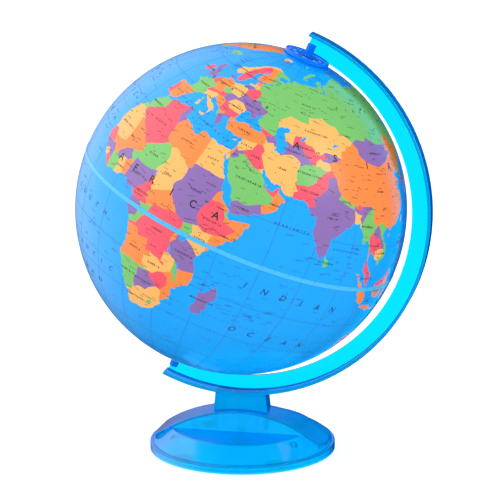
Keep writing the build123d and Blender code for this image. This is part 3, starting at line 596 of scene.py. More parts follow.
LAKES = """
Caspian: 47.5 45.5,49 46.4,53 46.7,53 45.2,51 44.7,52.5 42,54 40.5,53.8 37.2,51 36.7,49 37.6,49.5 40.3,
47.6 43,47 44.5;
Aral: 58.5 44,61 46.5,61.5 45,60 43.8;
Balkhash: 74 45,79 46.6,76 46.7;
Baikal: 104 51.7,108 53,109.9 55.7,109 54,106 52;
Victoria: 31.7 -0.5,34.2 0.2,33.5 -2.5,32 -2.3;
Tanganyika: 29.3 -3.5,30.5 -7,31 -8.7,29.8 -6.5;
Malawi: 34 -9.7,34.9 -12,35.2 -14,34.4 -12;
Turkana: 36 4.5,36.6 2.6,36.2 3.4;
Chad: 13.3 13.6,14.6 13.8,14.4 12.8;
Ladoga: 31 60.2,32.8 60.6,31 61.5;
Onega: 34.8 61.2,36 61.4,35 62.6;
Superior: -92 46.8,-88 48.8,-84.7 46.6;
Michigan: -87.8 42,-86.4 42.3,-85.3 45.8,-87.6 45;
Huron: -84 46,-81.3 45.4,-81.8 43.2,-83.5 44;
Erie: -83.3 41.8,-79 42.9,-80 42.2;
Ontario: -79.5 43.3,-76.3 43.6,-77 44;
Great_Bear: -124.5 66,-118 66.2,-120 67;
Great_Slave: -116.5 61,-109.5 62.7,-113 61.3;
Winnipeg: -97 50.5,-96.3 51.5,-98 53.8,-99 53;
Titicaca: -70 -15.4,-69 -16.3,-69.4 -15.6;
"""

COUNTRIES = """
GREEN Russia: 26 41,200 41,200 83,26 83;
ORANGE Indonesia: 94 -11.5,141 -11.5,141 5.4,98 5.9,94 6.5;
ORANGE Greenland: -74 78,-56 74,-56 58,-35 58,-8 70,-8 84,-60 84.5,-61 82.2;
YELLOW Svalbard: 8 75,35 75,35 82,8 82;
GREEN Morocco: -14 28.5,-13.2 27.7,-8.7 27.7,-8.7 28.7,-5.5 29.9,-3.6 31,-1.2 32.2,-1.8 35.6,-5 37,-12 35;
YELLOW Mauritania: -18.5 28,-8.7 27.7,-8.7 27.3,-4.8 25,-6.5 25,-5.5 15.5,-12.2 14.8,-14 16.6,-18 16.3;
RED Algeria: -8.7 27.3,-8.7 28.7,-5.5 29.9,-3.6 31,-1.2 32.2,-1.8 35.6,-2 37,8.5 38,8.3 36.5,7.6 33.5,
9.4 30.2,9.8 26.5,10.2 24.5,12 23.5,4.2 19.2,3.2 19,1.2 21,-4.8 25;
PURPLE Tunisia: 8.5 38,8.3 36.5,7.6 33.5,9.4 30.2,11.4 33,12 34,11.5 38;
ORANGE Libya: 9.4 30.2,9.8 26.5,10.2 24.5,12 23.5,14.2 22.6,15.9 23.4,24 19.5,24 20,25 20,25 22,25 33,
20 34,12 34,11.4 33;
YELLOW Egypt: 25 33,25 22,38 22,34.5 28,34.9 29.5,34.2 31.4,34 32.5;
ORANGE Mali: -4.8 25,1.2 21,3.2 19,4.2 19.2,4.2 16.5,3.5 15.3,0.5 15,-2 14.2,-3.5 13.3,-5.3 11.8,-5.5 10.4,
-8 10.2,-9.3 12.4,-11.4 12.3,-12.2 14.8,-5.5 15.5,-6.5 25;
GREEN Niger: 4.2 19.2,12 23.5,14.2 22.6,15 21,15.6 19.8,15.5 17,13.5 14.3,13.6 13.6,12 13.1,9 12.9,
6.8 13.1,4.1 13.5,3.7 11.7,2.2 12.2,1 13.4,0.5 15,3.5 15.3,4.2 16.5;
YELLOW Chad: 14.2 22.6,15.9 23.4,24 19.5,24 15.7,22.5 14,22 12.6,22.9 11,19 9,15.5 7.5,15 8.5,15.5 10,
14.2 10,15 12.2,13.6 13.6,13.5 14.3,15.5 17,15.6 19.8,15 21;
PURPLE Sudan: 25 22,25 20,24 20,24 15.7,22.5 14,22 12.6,22.9 11,23.6 9,25 7.8,27.4 5,30.8 3.6,34 4.3,
35.9 4.7,34 7.5,34.3 10.5,36.4 14.3,37 17,39 18.2,39 22;
RED Senegal: -18.5 16.3,-14 16.6,-12.2 14.8,-11.4 12.3,-18 12.3;
PURPLE Guinea: -18 12.3,-11.4 12.3,-9.3 12.4,-8 10.2,-8.3 7.6,-10.3 8.5,-11.2 10,-14 9.2,-17 10;
YELLOW Sierra_Leone: -14 9.2,-11.2 10,-10.3 8.5,-11.6 6.9,-14 7.5;
RED Liberia: -11.6 6.9,-10.3 8.5,-8.3 7.6,-7.5 4,-10 5;
GREEN Ivory_Coast: -8.3 7.6,-8 10.2,-5.5 10.4,-2.8 9.8,-3 4.5,-7.5 3.8;
PURPLE Burkina: -5.3 11.8,-3.5 13.3,-2 14.2,0.5 15,1 13.4,2.2 12.2,0.9 11,-2.8 11,-2.8 9.8,-5.5 10.4;
YELLOW Ghana: -2.8 11,0 11.1,1.1 5.5,0 4.8,-3 4.5;
ORANGE Benin: 0 11.1,0.9 11,2.2 12.2,3.7 11.7,2.7 5.6,1.1 5.5;
PURPLE Nigeria: 2.7 5.6,3.7 11.7,4.1 13.5,6.8 13.1,9 12.9,12 13.1,13.6 13.6,14.5 12.5,12 7.5,8.5 4.4,7 3.8;
RED Cameroon: 8.5 4.4,12 7.5,14.5 12.5,15 12.2,14.2 10,15.5 10,15 8.5,15.5 7.5,14.5 6,16.2 2.2,9.3 2.2;
ORANGE Central_Africa: 15.5 7.5,19 9,22.9 11,23.6 9,25 7.8,27.4 5,25 4.8,22.5 4.1,18.6 4.3,18.6 3.5,
16.2 2.2,14.5 6;
PURPLE Gabon: 8.5 2.2,13.3 2.2,14.4 1.4,14 -2.4,11 -4,8.5 -1;
GREEN Congo: 13.3 2.2,16.2 2.2,18.6 3.5,17.8 -0.3,16.2 -2.2,15 -4.8,12 -5.2,11 -4,14 -2.4,14.4 1.4;
RED DR_Congo: 18.6 4.3,22.5 4.1,25 4.8,27.4 5,30.8 3.6,31.3 2.2,29.6 -1.4,29 -2.8,29.3 -4.4,30.7 -8.3,
28.6 -8.5,28.5 -12,29.8 -12.2,29.8 -13.4,27.2 -11.7,24.4 -11.2,24 -10.9,22 -11.2,21.7 -7.3,17.6 -8,
16.5 -5.9,12 -6,12 -5.2,15 -4.8,16.2 -2.2,17.8 -0.3,18.6 3.5;
GREEN Uganda: 30.8 3.6,34 4.3,35 1.8,34 0.2,34 -1,30.8 -1.1,29.6 -1.4,31.3 2.2;
ORANGE Rwanda: 29.6 -1.4,30.8 -1.1,30.8 -3.4,29.3 -4.4,29 -2.8;
YELLOW Kenya: 34 4.3,35.9 4.7,38 3.6,41.9 4,41 3.2,41 -1.8,41.9 -2.6,39.2 -4.7,37.7 -3.2,34 -1,34 0.2,
35 1.8;
PURPLE Tanzania: 30.8 -1.1,34 -1,37.7 -3.2,39.2 -4.7,41.5 -6,41.5 -10.5,36.5 -11.7,34.6 -11.5,33 -9.3,
30.7 -8.3,29.3 -4.4,30.8 -3.4;
RED Ethiopia: 36.4 14.3,37.5 14.2,39 14.6,41.8 12.6,42.7 10.8,42.8 9,44 9,48 8,45 5,41.9 4,38 3.6,35.9 4.7,
34 7.5,34.3 10.5;
ORANGE Eritrea: 36.4 14.3,37 17,38.6 18.3,43.5 12.9,42.4 12.4,41.8 12.6,39 14.6,37.5 14.2;
GREEN Djibouti: 41.8 12.6,42.4 12.4,43.5 12.9,43.6 11.2,42.7 10.8;
ORANGE Somalia: 42.7 10.8,43.6 11.2,52 12.5,52 9,47 1,41.9 -2.6,41 -1.8,41 3.2,41.9 4,45 5,48 8,44 9,
42.8 9;
ORANGE Angola: 11 -6,12 -6,16.5 -5.9,17.6 -8,21.7 -7.3,22 -11.2,24 -10.9,24 -13,22 -13,22 -16.2,23.4 -17.6,
21 -17.9,18.4 -17.4,11 -17.2;
YELLOW Zambia: 24 -10.9,24.4 -11.2,27.2 -11.7,29.8 -13.4,29.8 -12.2,28.5 -12,28.6 -8.5,30.7 -8.3,33 -9.3,
33 -14,30.3 -15.6,28.9 -16,27 -17.9,25.2 -17.8,23.4 -17.6,22 -16.2,22 -13,24 -13;
GREEN Malawi: 33 -9.3,34.6 -11.5,34.8 -12,35.8 -16,34.8 -17.2,34.3 -14.5,33 -14;
ORANGE Mozambique: 34.6 -11.5,36.5 -11.7,41.5 -10.5,41.5 -16,36 -22,33.5 -27,32 -26.8,31.8 -24,31.3 -22.4,
33 -19.5,32.7 -16.7,30.3 -15.6,33 -14,34.3 -14.5,34.8 -17.2,35.8 -16,34.8 -12;
GREEN Namibia: 11 -17.2,18.4 -17.4,21 -17.9,23.4 -17.6,25.2 -17.8,24 -18.3,21 -18.3,21 -22,20 -22,20 -24.8,
20 -28.4,17 -29,14 -28.6;
PURPLE Botswana: 21 -18.3,24 -18.3,25.2 -17.8,26 -19.5,29.3 -22.2,27 -23.7,25.6 -25.6,23 -25.3,20.7 -26.9,
20 -24.8,20 -22,21 -22;
RED Zimbabwe: 25.2 -17.8,27 -17.9,28.9 -16,30.3 -15.6,32.7 -16.7,33 -19.5,31.3 -22.4,29.3 -22.2,26 -19.5;
YELLOW South_Africa: 14 -28.6,17 -29,20 -28.4,20 -24.8,20.7 -26.9,23 -25.3,25.6 -25.6,27 -23.7,29.3 -22.2,
31.3 -22.4,31.8 -24,32 -26.8,33.5 -27,32 -31,27 -35.5,18 -36;
GREEN Lesotho: 27 -29.5,28.6 -28.7,29.3 -29.4,28.3 -30.5,27.3 -30.3;
PURPLE Madagascar: 42 -11,51 -11,51 -26,42 -26;
ORANGE Turkey: 25.5 42,26.3 41.7,28 42,36 43,41.4 41.5,43.5 41,44.8 39.7,44.5 37.2,42.3 37.2,38.8 36.7,
36.7 36.8,35.5 36,33 35.6,27 35.5,25.8 38;
YELLOW Syria: 35.5 36,36.7 36.8,38.8 36.7,42.3 37.2,41.2 34.4,38.8 33.3,36.8 32.3,35.7 33.3,34.8 33.5;
ORANGE Levant: 34 31.5,34.9 29.5,35.5 31.5,35.5 32.6,35.7 33.3,34.8 33.5;
PURPLE Jordan: 35.5 32.6,36.8 32.3,38.8 33.3,39.2 32,37 31.4,38 30.4,36 29.2,34.9 29.5,35.5 31.5;
RED Iraq: 38.8 33.3,41.2 34.4,42.3 37.2,44.5 37.2,46 35.8,45.5 34,47.8 31,48.6 29.9,47.8 30.1,46.6 29.1,
44.7 29.2,39.2 32;
YELLOW Iran: 44.8 39.7,48 39.6,49 38.4,52.5 36.5,54 37.3,57 38.2,61.2 36.6,61.2 35.3,60.7 34.3,61 31.4,
61.7 30.8,60.9 29.8,63 27.2,61.7 26.8,61.6 24.8,57 25.3,54 26,50.5 28,48.6 29.9,47.8 31,45.5 34,46 35.8,
44.5 37.2;
YELLOW Kuwait: 46.6 29.1,47.8 30.1,48.6 29.9,48.4 28.5;
GREEN Saudi_Arabia: 34.5 28,34.9 29.5,36 29.2,38 30.4,37 31.4,39.2 32,44.7 29.2,46.6 29.1,48.4 28.5,
50.8 24.9,51.6 24.1,55 22.6,55.2 20,52 19,47 17,44 17.4,42.5 16.4,38 21;
PURPLE Yemen: 42.5 16.4,44 17.4,47 17,52 19,53.1 16.5,53 14,43 12.3;
ORANGE Oman: 52 19,55.2 20,55 22.6,56 24.8,56.5 26.5,58 25,61 22.5,57 17,53.1 16.5;
RED Emirates: 51.6 24.1,55 22.6,56 24.8,56.5 26.5,54 25,51.6 24.6;
ORANGE Qatar: 50.7 24.6,51.6 24.6,51.6 26.3,50.7 26.3;
RED Georgia: 40 43.5,46.5 42,46.5 41.3,43.5 41,41.4 41.5;
PURPLE Azerbaijan: 43.5 41,46.5 41.3,46.5 42,48.5 41.9,50.5 40.3,49 38.4,48 39.6,45.5 38.9,44.8 39.7;
PURPLE Turkmenistan: 52.4 42,54 42,56 41.3,57 41.3,58.5 42.7,60 42.2,62 40,66.5 37.4,64.8 37.1,61.2 35.3,
61.2 36.6,57 38.2,54 37.3,52.5 36.5;
RED Uzbekistan: 56 45,56 41.3,57 41.3,58.5 42.7,60 42.2,62 40,66.5 37.4,67.8 37.2,68 38.9,69.5 40.2,
71 40.2,73 40.8,71 42.2,69 41.3,66.5 41.9,66 43,62 43.5,61 44.2,58.5 45.5;
YELLOW Kazakhstan: 46.5 48.5,47.5 45.5,52 45.4,51 44.5,52.4 42,54 42,56 41.3,56 45,58.5 45.5,61 44.2,
62 43.5,66 43,66.5 41.9,69 41.3,71 42.8,75 42.9,80.2 42.2,80.2 45,82.5 45.3,83 47.1,85.5 47.1,87.8 49.1,
83 51,80 51,77.5 53.5,74 53.6,71 54.2,69 55.4,65 54.3,61 53.9,61.5 51,57 51,51 51.6,48.5 49.9;
PURPLE Kyrgyzstan: 69.5 40.2,71 40.2,73 40.8,71 42.2,71 42.8,75 42.9,80.2 42.2,78 41,74 39.5,71 39.5;
YELLOW Tajikistan: 67.8 37.2,68 38.9,69.5 40.2,71 39.5,74 39.5,75 37.3,71.5 36.7,70 37.6;
GREEN Afghanistan: 61.2 35.3,64.8 37.1,66.5 37.4,67.8 37.2,70 37.6,71.5 36.7,75 37.3,71.2 35.2,71 34,
69.5 33.3,69.3 31.8,66.4 29.9,62.5 29.3,60.9 29.8,61.7 30.8,61 31.4,60.7 34.3;
RED Pakistan: 60.9 29.8,62.5 29.3,66.4 29.9,69.3 31.8,69.5 33.3,71 34,71.2 35.2,75 37.3,77.8 35.5,74 34.5,
74.5 33,74.4 31,72 28,69.6 27,70.6 25,71 24.3,68 23.3,66 24.5,61.6 24.8,61.7 26.8,63 27.2;
PURPLE India: 68 23.3,71 24.3,70.6 25,69.6 27,72 28,74.4 31,74.5 33,74 34.5,77.8 35.5,79 32.5,81 30.3,
80 28.8,84 27.4,88 26.4,88.1 27.9,88.8 27.2,89 26.8,92 26.8,92 27.8,97.3 28.3,97 27,95 26,93.5 23.5,
92.5 22,91.3 23.8,92.3 25,89.8 25.3,88.2 26.3,88.8 24,89 21.5,85 18,80.9 12,79.4 10,79.4 8,77.5 7,75 11,
71.5 18;
GREEN Nepal: 80 28.8,81 30.3,86 28,88.1 27.9,88 26.4,84 27.4;
RED Bhutan: 88.8 27.2,90.3 28.2,92 27.8,92 26.8,89 26.8;
YELLOW Bangladesh: 88.2 26.3,89.8 25.3,92.3 25,91.3 23.8,92.5 22,92.4 20.8,89 21.5,88.8 24;
GREEN Sri_Lanka: 79.6 10,82.5 10,82.5 5,79 5;
GREEN Myanmar: 92.4 20.8,92.5 22,93.5 23.5,95 26,97 27,97.3 28.3,98.7 27.5,98.7 24,101.2 21.5,100 20.4,
97.7 18,99 15,99.2 11.7,98.5 9.9,97.5 14,93.5 16;
RED Thailand: 97.7 18,100 20.4,101.2 17.6,104 18.3,105.5 15.3,105 14.4,102.5 13.6,102.7 11.8,100.8 12,
100.6 9,102 6.5,100.5 6.4,98 7,98.5 9.9,99.2 11.7,99 15;
PURPLE Laos: 100 20.4,101.2 21.5,102.2 22.4,104 20.2,104 19.3,107.5 15.8,107.5 14.4,105 14.4,105.5 15.3,
104 18.3,101.2 17.6;
YELLOW Cambodia: 102.5 13.6,105 14.4,107.5 14.4,107.5 12.2,105 10.7,104 10,102.7 11.8;
GREEN Vietnam: 102.2 22.4,105 23.3,108 21.6,106 18,110 15,110 11,105 8,104 10,105 10.7,107.5 12.2,
107.5 14.4,107.5 15.8,104 19.3,104 20.2;
RED Malaya: 98.5 6.9,100.5 6.4,102 6.5,105 3,104.5 1.1,103.4 1.2,100 3;
RED Sarawak: 109.3 1.6,110.5 0.9,114 1.4,115.7 4.3,118 4.2,120 5.2,117 8,112 4;
GREEN East_Timor: 125 -9.5,127.8 -8.2,127 -9.3;
PURPLE Philippines: 116.9 8,119.5 12,119.5 19.5,124 19.5,127.5 9,126.5 5.3,121.5 5.6;
GREEN Papua: 141 -2,141 -10,152 -11.5,156 -6,152 -2.5;
ORANGE China: 74 39.5,75 37.3,77.8 35.5,79 32.5,81 30.3,86 28,88.1 27.9,88.8 27.2,90.3 28.2,92 27.8,
97.3 28.3,98.7 27.5,98.7 24,101.2 21.5,102.2 22.4,105 23.3,108 21.6,108.5 17.5,114 21,119 23,124 29,
123 37.5,121 38.5,124.3 40,126.5 41.8,128 42,130.7 42.6,131 45,135 48.5,131 47.7,127.5 50,125.5 53,
121 53.3,117 49.6,116 47.8,120 46.8,112 43.6,105 41.7,97 42.7,91 45.2,90.9 47,87.8 49.1,85.5 47.1,83 47.1,
82.5 45.3,80.2 45,80.2 42.2,78 41;
YELLOW Taiwan: 119.5 21.5,122.5 21.5,122.5 25.6,119.5 25.6;
PURPLE Mongolia: 87.8 49.1,91 50.6,98 50.5,98.5 52,102 51.3,107 49.8,113 49.7,117 49.6,116 47.8,120 46.8,
112 43.6,105 41.7,97 42.7,91 45.2,90.9 47;
GREEN North_Korea: 124.3 40,126.5 41.8,128 42,130.7 42.6,130.2 40.8,128.5 38.4,126 37.5,124 38;
RED South_Korea: 126 37.5,128.5 38.4,130 36,129 34,125.5 33.8;
YELLOW Japan: 129 30.5,132 30.5,141.5 34,146.5 43,142.5 45.8,139.3 42,137 38,131 35.8,129 34;
ORANGE Spain: -10 44.5,-1.7 43.3,3.4 42.4,4.5 39,-2 36,-5.6 35.9,-7.4 36.8,-7 38.2,-6.8 41.9,-9.4 42;
RED Portugal: -9.4 42,-6.8 41.9,-7 38.2,-7.4 36.8,-10 36.5,-10 41;
GREEN France: -5.5 48.5,1.5 51.5,2.4 51.2,4.2 49.9,5.8 49.5,6.2 49.5,8.2 49,7.5 47.5,6 46.2,7 45.8,
7.5 43.2,3.4 42.4,-1.7 43.3,-3 47;
GREEN Corsica: 8.3 41.2,9.8 41.2,9.8 43.2,8.3 43.2;
ORANGE Germany: 6 51.8,7 53.9,8.6 55,14.3 54.6,14.3 53,14.8 51,12.2 50.3,13.7 48.7,13 47.5,7.5 47.5,8.2 49,
6.2 49.5;
RED Low_Countries: 2.4 51.2,4.2 49.9,5.8 49.5,6.2 49.5,6 51.8,7 53.9,4.2 53.5;
PURPLE Denmark: 7.5 55,9.5 54.8,13 54.8,13 56.2,10.8 58,7.5 57.3;
RED Alps: 6 46.2,7.5 47.5,13 47.5,13.7 48.7,17 48.2,16.3 46.8,13.8 46.4,12 46.8,10 46.4,7 45.8;
YELLOW Italy: 7 45.8,10 46.4,12 46.8,13.8 46.4,13.7 45.5,12.7 44.5,14.5 42.6,18.8 40.5,16.5 37.6,15 36.4,
12 37.5,7.8 38.5,7.8 41.2,9.8 41.3,9.8 43,7.5 43.2;
GREEN Czechia: 12.2 50.3,14.8 51,18.8 49.6,17 48.8,14.5 48.6,13.7 48.7;
YELLOW Poland: 14.2 54.6,14.3 53,14.8 51,18.8 49.6,22.7 49.2,24 50.7,23.6 52.5,23.5 54,19.5 54.4,17 55;
PURPLE Hungary: 17 48.2,17 48.8,18.8 49.6,22.7 49.2,22.2 48.2,20.3 46.1,18.8 45.9,16.3 46.8;
YELLOW Romania: 22.2 48.2,26.5 48.3,30 46.5,29.7 45,28.8 43.7,22.6 44.2,20.3 46.1;
ORANGE Croatia: 13.5 45.2,13.8 46.4,16.3 46.8,18.8 45.9,19.2 44.9,19 43.4,18.5 42.2,15.5 43;
RED Serbia: 18.8 45.9,20.3 46.1,22.6 44.2,22.4 42.3,20 42,18.5 42.2,19 43.4,19.2 44.9;
GREEN Albania: 19 42.2,20 42,21 40.8,20 39.6,19 40.3;
ORANGE Macedonia: 20 42,22.4 42.3,23 41.4,21 40.8;
RED Bulgaria: 22.6 44.2,28.8 43.7,28 42,26.3 41.7,23 41.4,22.4 42.3;
PURPLE Greece: 19.3 39.7,20 39.6,21 40.8,23 41.4,26.3 41.7,26 40.5,25 39,28.5 36.6,26.5 34.6,23 34.6,
20.5 36.5;
PURPLE Ukraine: 22.2 48.2,22.7 49.2,24 50.7,24 51.8,30.5 51.4,33.8 52.3,35.5 50.3,40 49.6,38.2 47.2,
36.8 45.2,33.5 44.2,30 45.2,30 46.5,26.5 48.3;
RED Belarus: 24 51.8,23.6 52.5,23.5 54,26.5 55.7,28.2 56.2,31 55.6,31.5 53.2,30.5 51.4;
PURPLE Lithuania: 20 55.2,20 56.3,25 56.3,26.5 55.7,23.5 54;
YELLOW Latvia: 20 56.3,20 57.8,25 58,27.5 57.5,28.2 56.2,26.5 55.7,25 56.3;
ORANGE Estonia: 23 57.9,23 59.8,28.1 59.8,27.5 57.5,25 58;
YELLOW Norway: 3 58,3 62,11 68,20 71.5,31 72,31 70,28.5 69.8,25.8 69.6,20.6 69.1,18 68.3,16 67,14 64.5,
12.5 63.5,12 61,11.3 59,8 57;
RED Sweden: 11.3 59,12 61,12.5 63.5,14 64.5,16 67,18 68.3,20.6 69.1,23.8 67.9,24.2 65.8,21 63.5,18.5 61,
19.9 59.5,17 55,13 54.9,11.3 57;
ORANGE Finland: 20.6 69.1,25.8 69.6,28.5 69.8,30 67.5,29.5 65.5,31.5 62.7,28 60.2,22 59.2,20.8 61,
20.8 63.5,24.2 65.8,23.8 67.9;
RED Ireland: -11 51,-5.5 51.5,-5.2 55.6,-11 55.8;
PURPLE Britain: -5.5 51.3,-7 49.5,2.5 50.6,2.5 53.5,0 59.5,-8 59.5,-5.2 55.6;
GREEN Iceland: -26 62.5,-12 62.5,-12 67.5,-26 67.5;
RED Canada: -141 85,-141 60,-137 59,-130.5 55,-133 53,-124.9 48.4,-123 49,-95 49,-89 48,-84.5 46.5,
-82.5 45,-82.5 42.3,-79 43,-76.5 44.2,-74.7 45,-71.3 45.2,-69.2 47.4,-67.8 47,-66.5 44.5,-60 42,-50 46,
-54 56,-62 66,-74 77,-61 82.6,-61 85;
YELLOW Alaska: -170 52,-133 53,-130.5 55,-137 59,-141 60,-141 72,-170 72;
YELLOW United_States: -124.9 48.4,-123 49,-95 49,-89 48,-84.5 46.5,-82.5 45,-82.5 42.3,-79 43,-76.5 44.2,
-74.7 45,-71.3 45.2,-69.2 47.4,-67.8 47,-66.5 44.5,-69 40,-74 34,-79 24.5,-84 25,-97 25.9,-101 29.7,
-103.2 29,-106.5 31.8,-111 31.3,-117.3 32.6,-121 33;
PURPLE Mexico: -117.3 32.6,-111 31.3,-106.5 31.8,-103.2 29,-101 29.7,-97 25.9,-96 19,-90 22.5,-86 21.5,
-87.5 18,-89.2 17.8,-91 17.2,-92.3 14.4,-106 18,-116 27;
GREEN Guatemala: -92.3 14.4,-91 17.2,-89.2 17.8,-87.5 18,-88.3 15.9,-89.3 14.4,-90.2 13.6;
ORANGE Honduras: -90.2 13.6,-89.3 14.4,-88.3 15.9,-83 16.2,-83.2 14.8,-87 13,-88 12.8;
RED Nicaragua: -88 12.8,-87 13,-83.2 14.8,-83.3 10.9,-86 11;
YELLOW Costa_Rica: -86 11,-83.3 10.9,-82.6 9.6,-83 8.1,-86 9.5;
GREEN Panama: -83 8.1,-82.6 9.6,-77.5 9.3,-77.3 7.3,-81 7;
ORANGE Cuba: -85.5 22.5,-82.5 24,-74 20.3,-77.5 19.3;
GREEN Hispaniola: -75 17.5,-68 17.5,-68 20.5,-75 20.5;
ORANGE Colombia: -77.5 9.3,-72 12.8,-71.2 12.3,-72.5 9,-70 7,-67.5 6.2,-67.4 2.5,-67 1.2,-69.5 1,-70 -4.2,
-72.5 -2.4,-75 -0.2,-77.8 0.8,-79.5 1.7,-77.3 7.3;
GREEN Venezuela: -71.2 12.3,-60.5 11.2,-60 8.7,-61.3 6,-60.7 5.2,-64 4,-64 1.5,-66.5 0.8,-67 1.2,-67.4 2.5,
-67.5 6.2,-70 7,-72.5 9;
RED Guyana: -60 8.7,-57.2 6.3,-58 2,-60 1.5,-60.7 5.2,-61.3 6;
YELLOW Suriname: -57.2 6.3,-54 6.3,-54.5 2.4,-58 2;
PURPLE French_Guiana: -54 6.3,-51.3 4.8,-52.8 2.2,-54.5 2.4;
GREEN Ecuador: -81.5 1,-79.5 1.7,-77.8 0.8,-75 -0.2,-76 -2.8,-78.5 -5,-80.4 -4.5,-81.8 -3.6;
PURPLE Peru: -81.8 -3.6,-80.4 -4.5,-78.5 -5,-76 -2.8,-75 -0.2,-72.5 -2.4,-70 -4.2,-72.8 -5,-73.8 -7.3,
-72.5 -9.5,-70.5 -9.5,-69.5 -11,-68.8 -12.6,-69.2 -15.5,-69.5 -17.5,-71 -18.2,-76 -15,-82 -7;
YELLOW Brazil: -69.5 1,-67 1.2,-66.5 0.8,-64 1.5,-64 4,-60.7 5.2,-60 1.5,-58 2,-54.5 2.4,-52.8 2.2,
-51.3 4.8,-45 1,-33 -5,-37 -18,-45 -26,-53 -34.5,-53.5 -33.7,-57.6 -30.2,-53.8 -27.2,-54.6 -25.6,-54.3 -24,
-55.8 -22.3,-58 -20,-57.6 -18,-60.2 -16.2,-60.5 -13.8,-65.3 -11.5,-65.3 -9.8,-69.5 -11,-70.5 -9.5,
-72.5 -9.5,-73.8 -7.3,-72.8 -5,-70 -4.2;
ORANGE Bolivia: -69.5 -11,-65.3 -9.8,-65.3 -11.5,-60.5 -13.8,-60.2 -16.2,-57.6 -18,-58 -20,-62 -20.5,
-62.7 -22,-67 -22.8,-68.2 -21.5,-69.5 -17.5,-69.2 -15.5,-68.8 -12.6;
PURPLE Paraguay: -62.7 -22,-62 -20.5,-58 -20,-55.8 -22.3,-54.3 -24,-54.6 -25.6,-56 -27.3,-58.6 -27.3,
-57.7 -25.3;
GREEN Chile: -71 -18.2,-69.5 -17.5,-68.2 -21.5,-67 -22.8,-68.5 -25,-69 -28,-70 -31,-70 -34,-71.3 -38,
-71.8 -44,-72 -48,-73 -50.5,-72.2 -52,-68.5 -52.3,-68.5 -56,-78 -54,-77 -44,-74 -30;
RED Argentina: -67 -22.8,-62.7 -22,-57.7 -25.3,-58.6 -27.3,-56 -27.3,-54.6 -25.6,-53.8 -27.2,-57.6 -30.2,
-58.2 -32,-58.4 -34,-56 -36,-57 -39,-62 -46,-64 -56,-68.5 -56,-68.5 -52.3,-72.2 -52,-73 -50.5,-72 -48,
-71.8 -44,-71.3 -38,-70 -34,-70 -31,-69 -28,-68.5 -25;
ORANGE Uruguay: -57.6 -30.2,-53.5 -33.7,-54 -35.5,-58.4 -34,-58.2 -32;
RED Australia: 112 -45,155 -45,155 -11.6,142 -10.6,130 -10.6,112 -18;
GREEN New_Zealand: 166 -48,179 -48,179 -34,166 -34;
ICE Antarctica: -190 -60,190 -60,190 -89,-190 -89;
"""


# -------------------- the ball's own grid

@dataclass(frozen=True)
class Ball:
    """Where a longitude, a latitude and a radius lie, on the leaning ball at rest."""
    centre: tuple[float, float, float]
    axis: tuple[float, float, float]
    turn: float = -129.5  # degrees from the grid's zero to the way the ball stands at rest
    radius: float = 127.0  # mm, over the printed map

    def frame(self) -> tuple[np.ndarray, np.ndarray, np.ndarray]:
        """Gives the unit vectors towards longitude 0, longitude 90 and the north pole."""
        north = np.array(self.axis) / np.linalg.norm(self.axis)
        east = np.array((0.0, 1.0, 0.0))
        return np.cross(east, north), east, north

    def place(self, lon: np.ndarray, lat: np.ndarray, radius: np.ndarray | float) -> np.ndarray:
        """Turns longitudes, latitudes and radii into points.

        Args:
            lon: longitudes in degrees.
            lat: latitudes in degrees.
            radius: distances from the centre, in millimetres.

        Returns:
            The points in metres, one row each.
        """
        zero, east, north = self.frame()
        a, b = np.radians(np.asarray(lon) + self.turn), np.radians(np.asarray(lat))
        flat = np.cos(a)[..., None] * zero + np.sin(a)[..., None] * east
        ray = np.cos(b)[..., None] * flat + np.sin(b)[..., None] * north
        return np.array(self.centre) + ray * (np.asarray(radius)[..., None] * MM)

    def disc(self, x: np.ndarray, y: np.ndarray, height: np.ndarray | float) -> np.ndarray:
        """Turns flat places across the axis into points.

        Args:
            x: places in millimetres towards longitude 0 of the case.
            y: places in millimetres a quarter turn on.
            height: distances along the axis from the ball's centre, in millimetres.

        Returns:
            The points in metres, one row each.
        """
        zero, east, north = self.frame()
        return np.array(self.centre) + MM * (np.asarray(x)[..., None] * zero + np.asarray(y)[..., None] * east
                + np.asarray(height)[..., None] * north)


Outline = list[tuple[float, float]]


def read_outlines(text: str) -> list[tuple[str, Outline]]:
    """Reads titled outlines, such as those of LANDS.

    Args:
        text: for each outline its title, a colon and its corners.

    Returns:
        The title and the corners of each outline.
    """
    parts = [entry.split(":") for entry in text.split(";")[:-1]]
    return [(title.strip(), [tuple(float(n) for n in corner.split()) for corner in corners.split(",")])
            for title, corners in parts]


def ragged(outline: Outline, finest: float, wander: float) -> Outline:
    """Breaks an outline's straight runs into the small bends of a coast or a river.

    The bends of a run depend only on its two ends, so two countries keep one common border.

    Args:
        outline: the corners, in degrees.
        finest: the longest run left straight, in degrees.
        wander: how far a bend leaves its run, as a share of the run's length.

    Returns:
        The corners with the bends between them.
    """
    bent: Outline = []
    for start, end in zip(outline, outline[1:] + outline[:1]):
        first, last = min(start, end), max(start, end)
        draw = random.Random(f"{first} {last}")
        run = bend(first, last, finest, wander, draw) + [last]
        bent += (run if start == first else run[::-1])[:-1]
    return bent


def bend(start: tuple[float, float], end: tuple[float, float], finest: float, wander: float,
        draw: random.Random) -> Outline:
    """Bends one straight run at its middle again and again, and leaves its last corner off.

    Args:
        start: the run's first corner, in degrees.
        end: its last corner.
        finest: the longest run left straight.
        wander: how far a bend leaves its run, as a share of its length.
        draw: where the random pushes come from.

    Returns:
        The first corner and the bends.
    """
    shrink = max(0.15, math.cos(math.radians((start[1] + end[1]) / 2)))
    east, north = (end[0] - start[0]) * shrink, end[1] - start[1]
    if math.hypot(east, north) < finest:
        return [start]
    push = draw.gauss(0.0, wander)
    middle = ((start[0] + end[0]) / 2 - north * push / shrink, (start[1] + end[1]) / 2 + east * push)
    return bend(start, middle, finest, wander, draw) + bend(middle, end, finest, wander, draw)


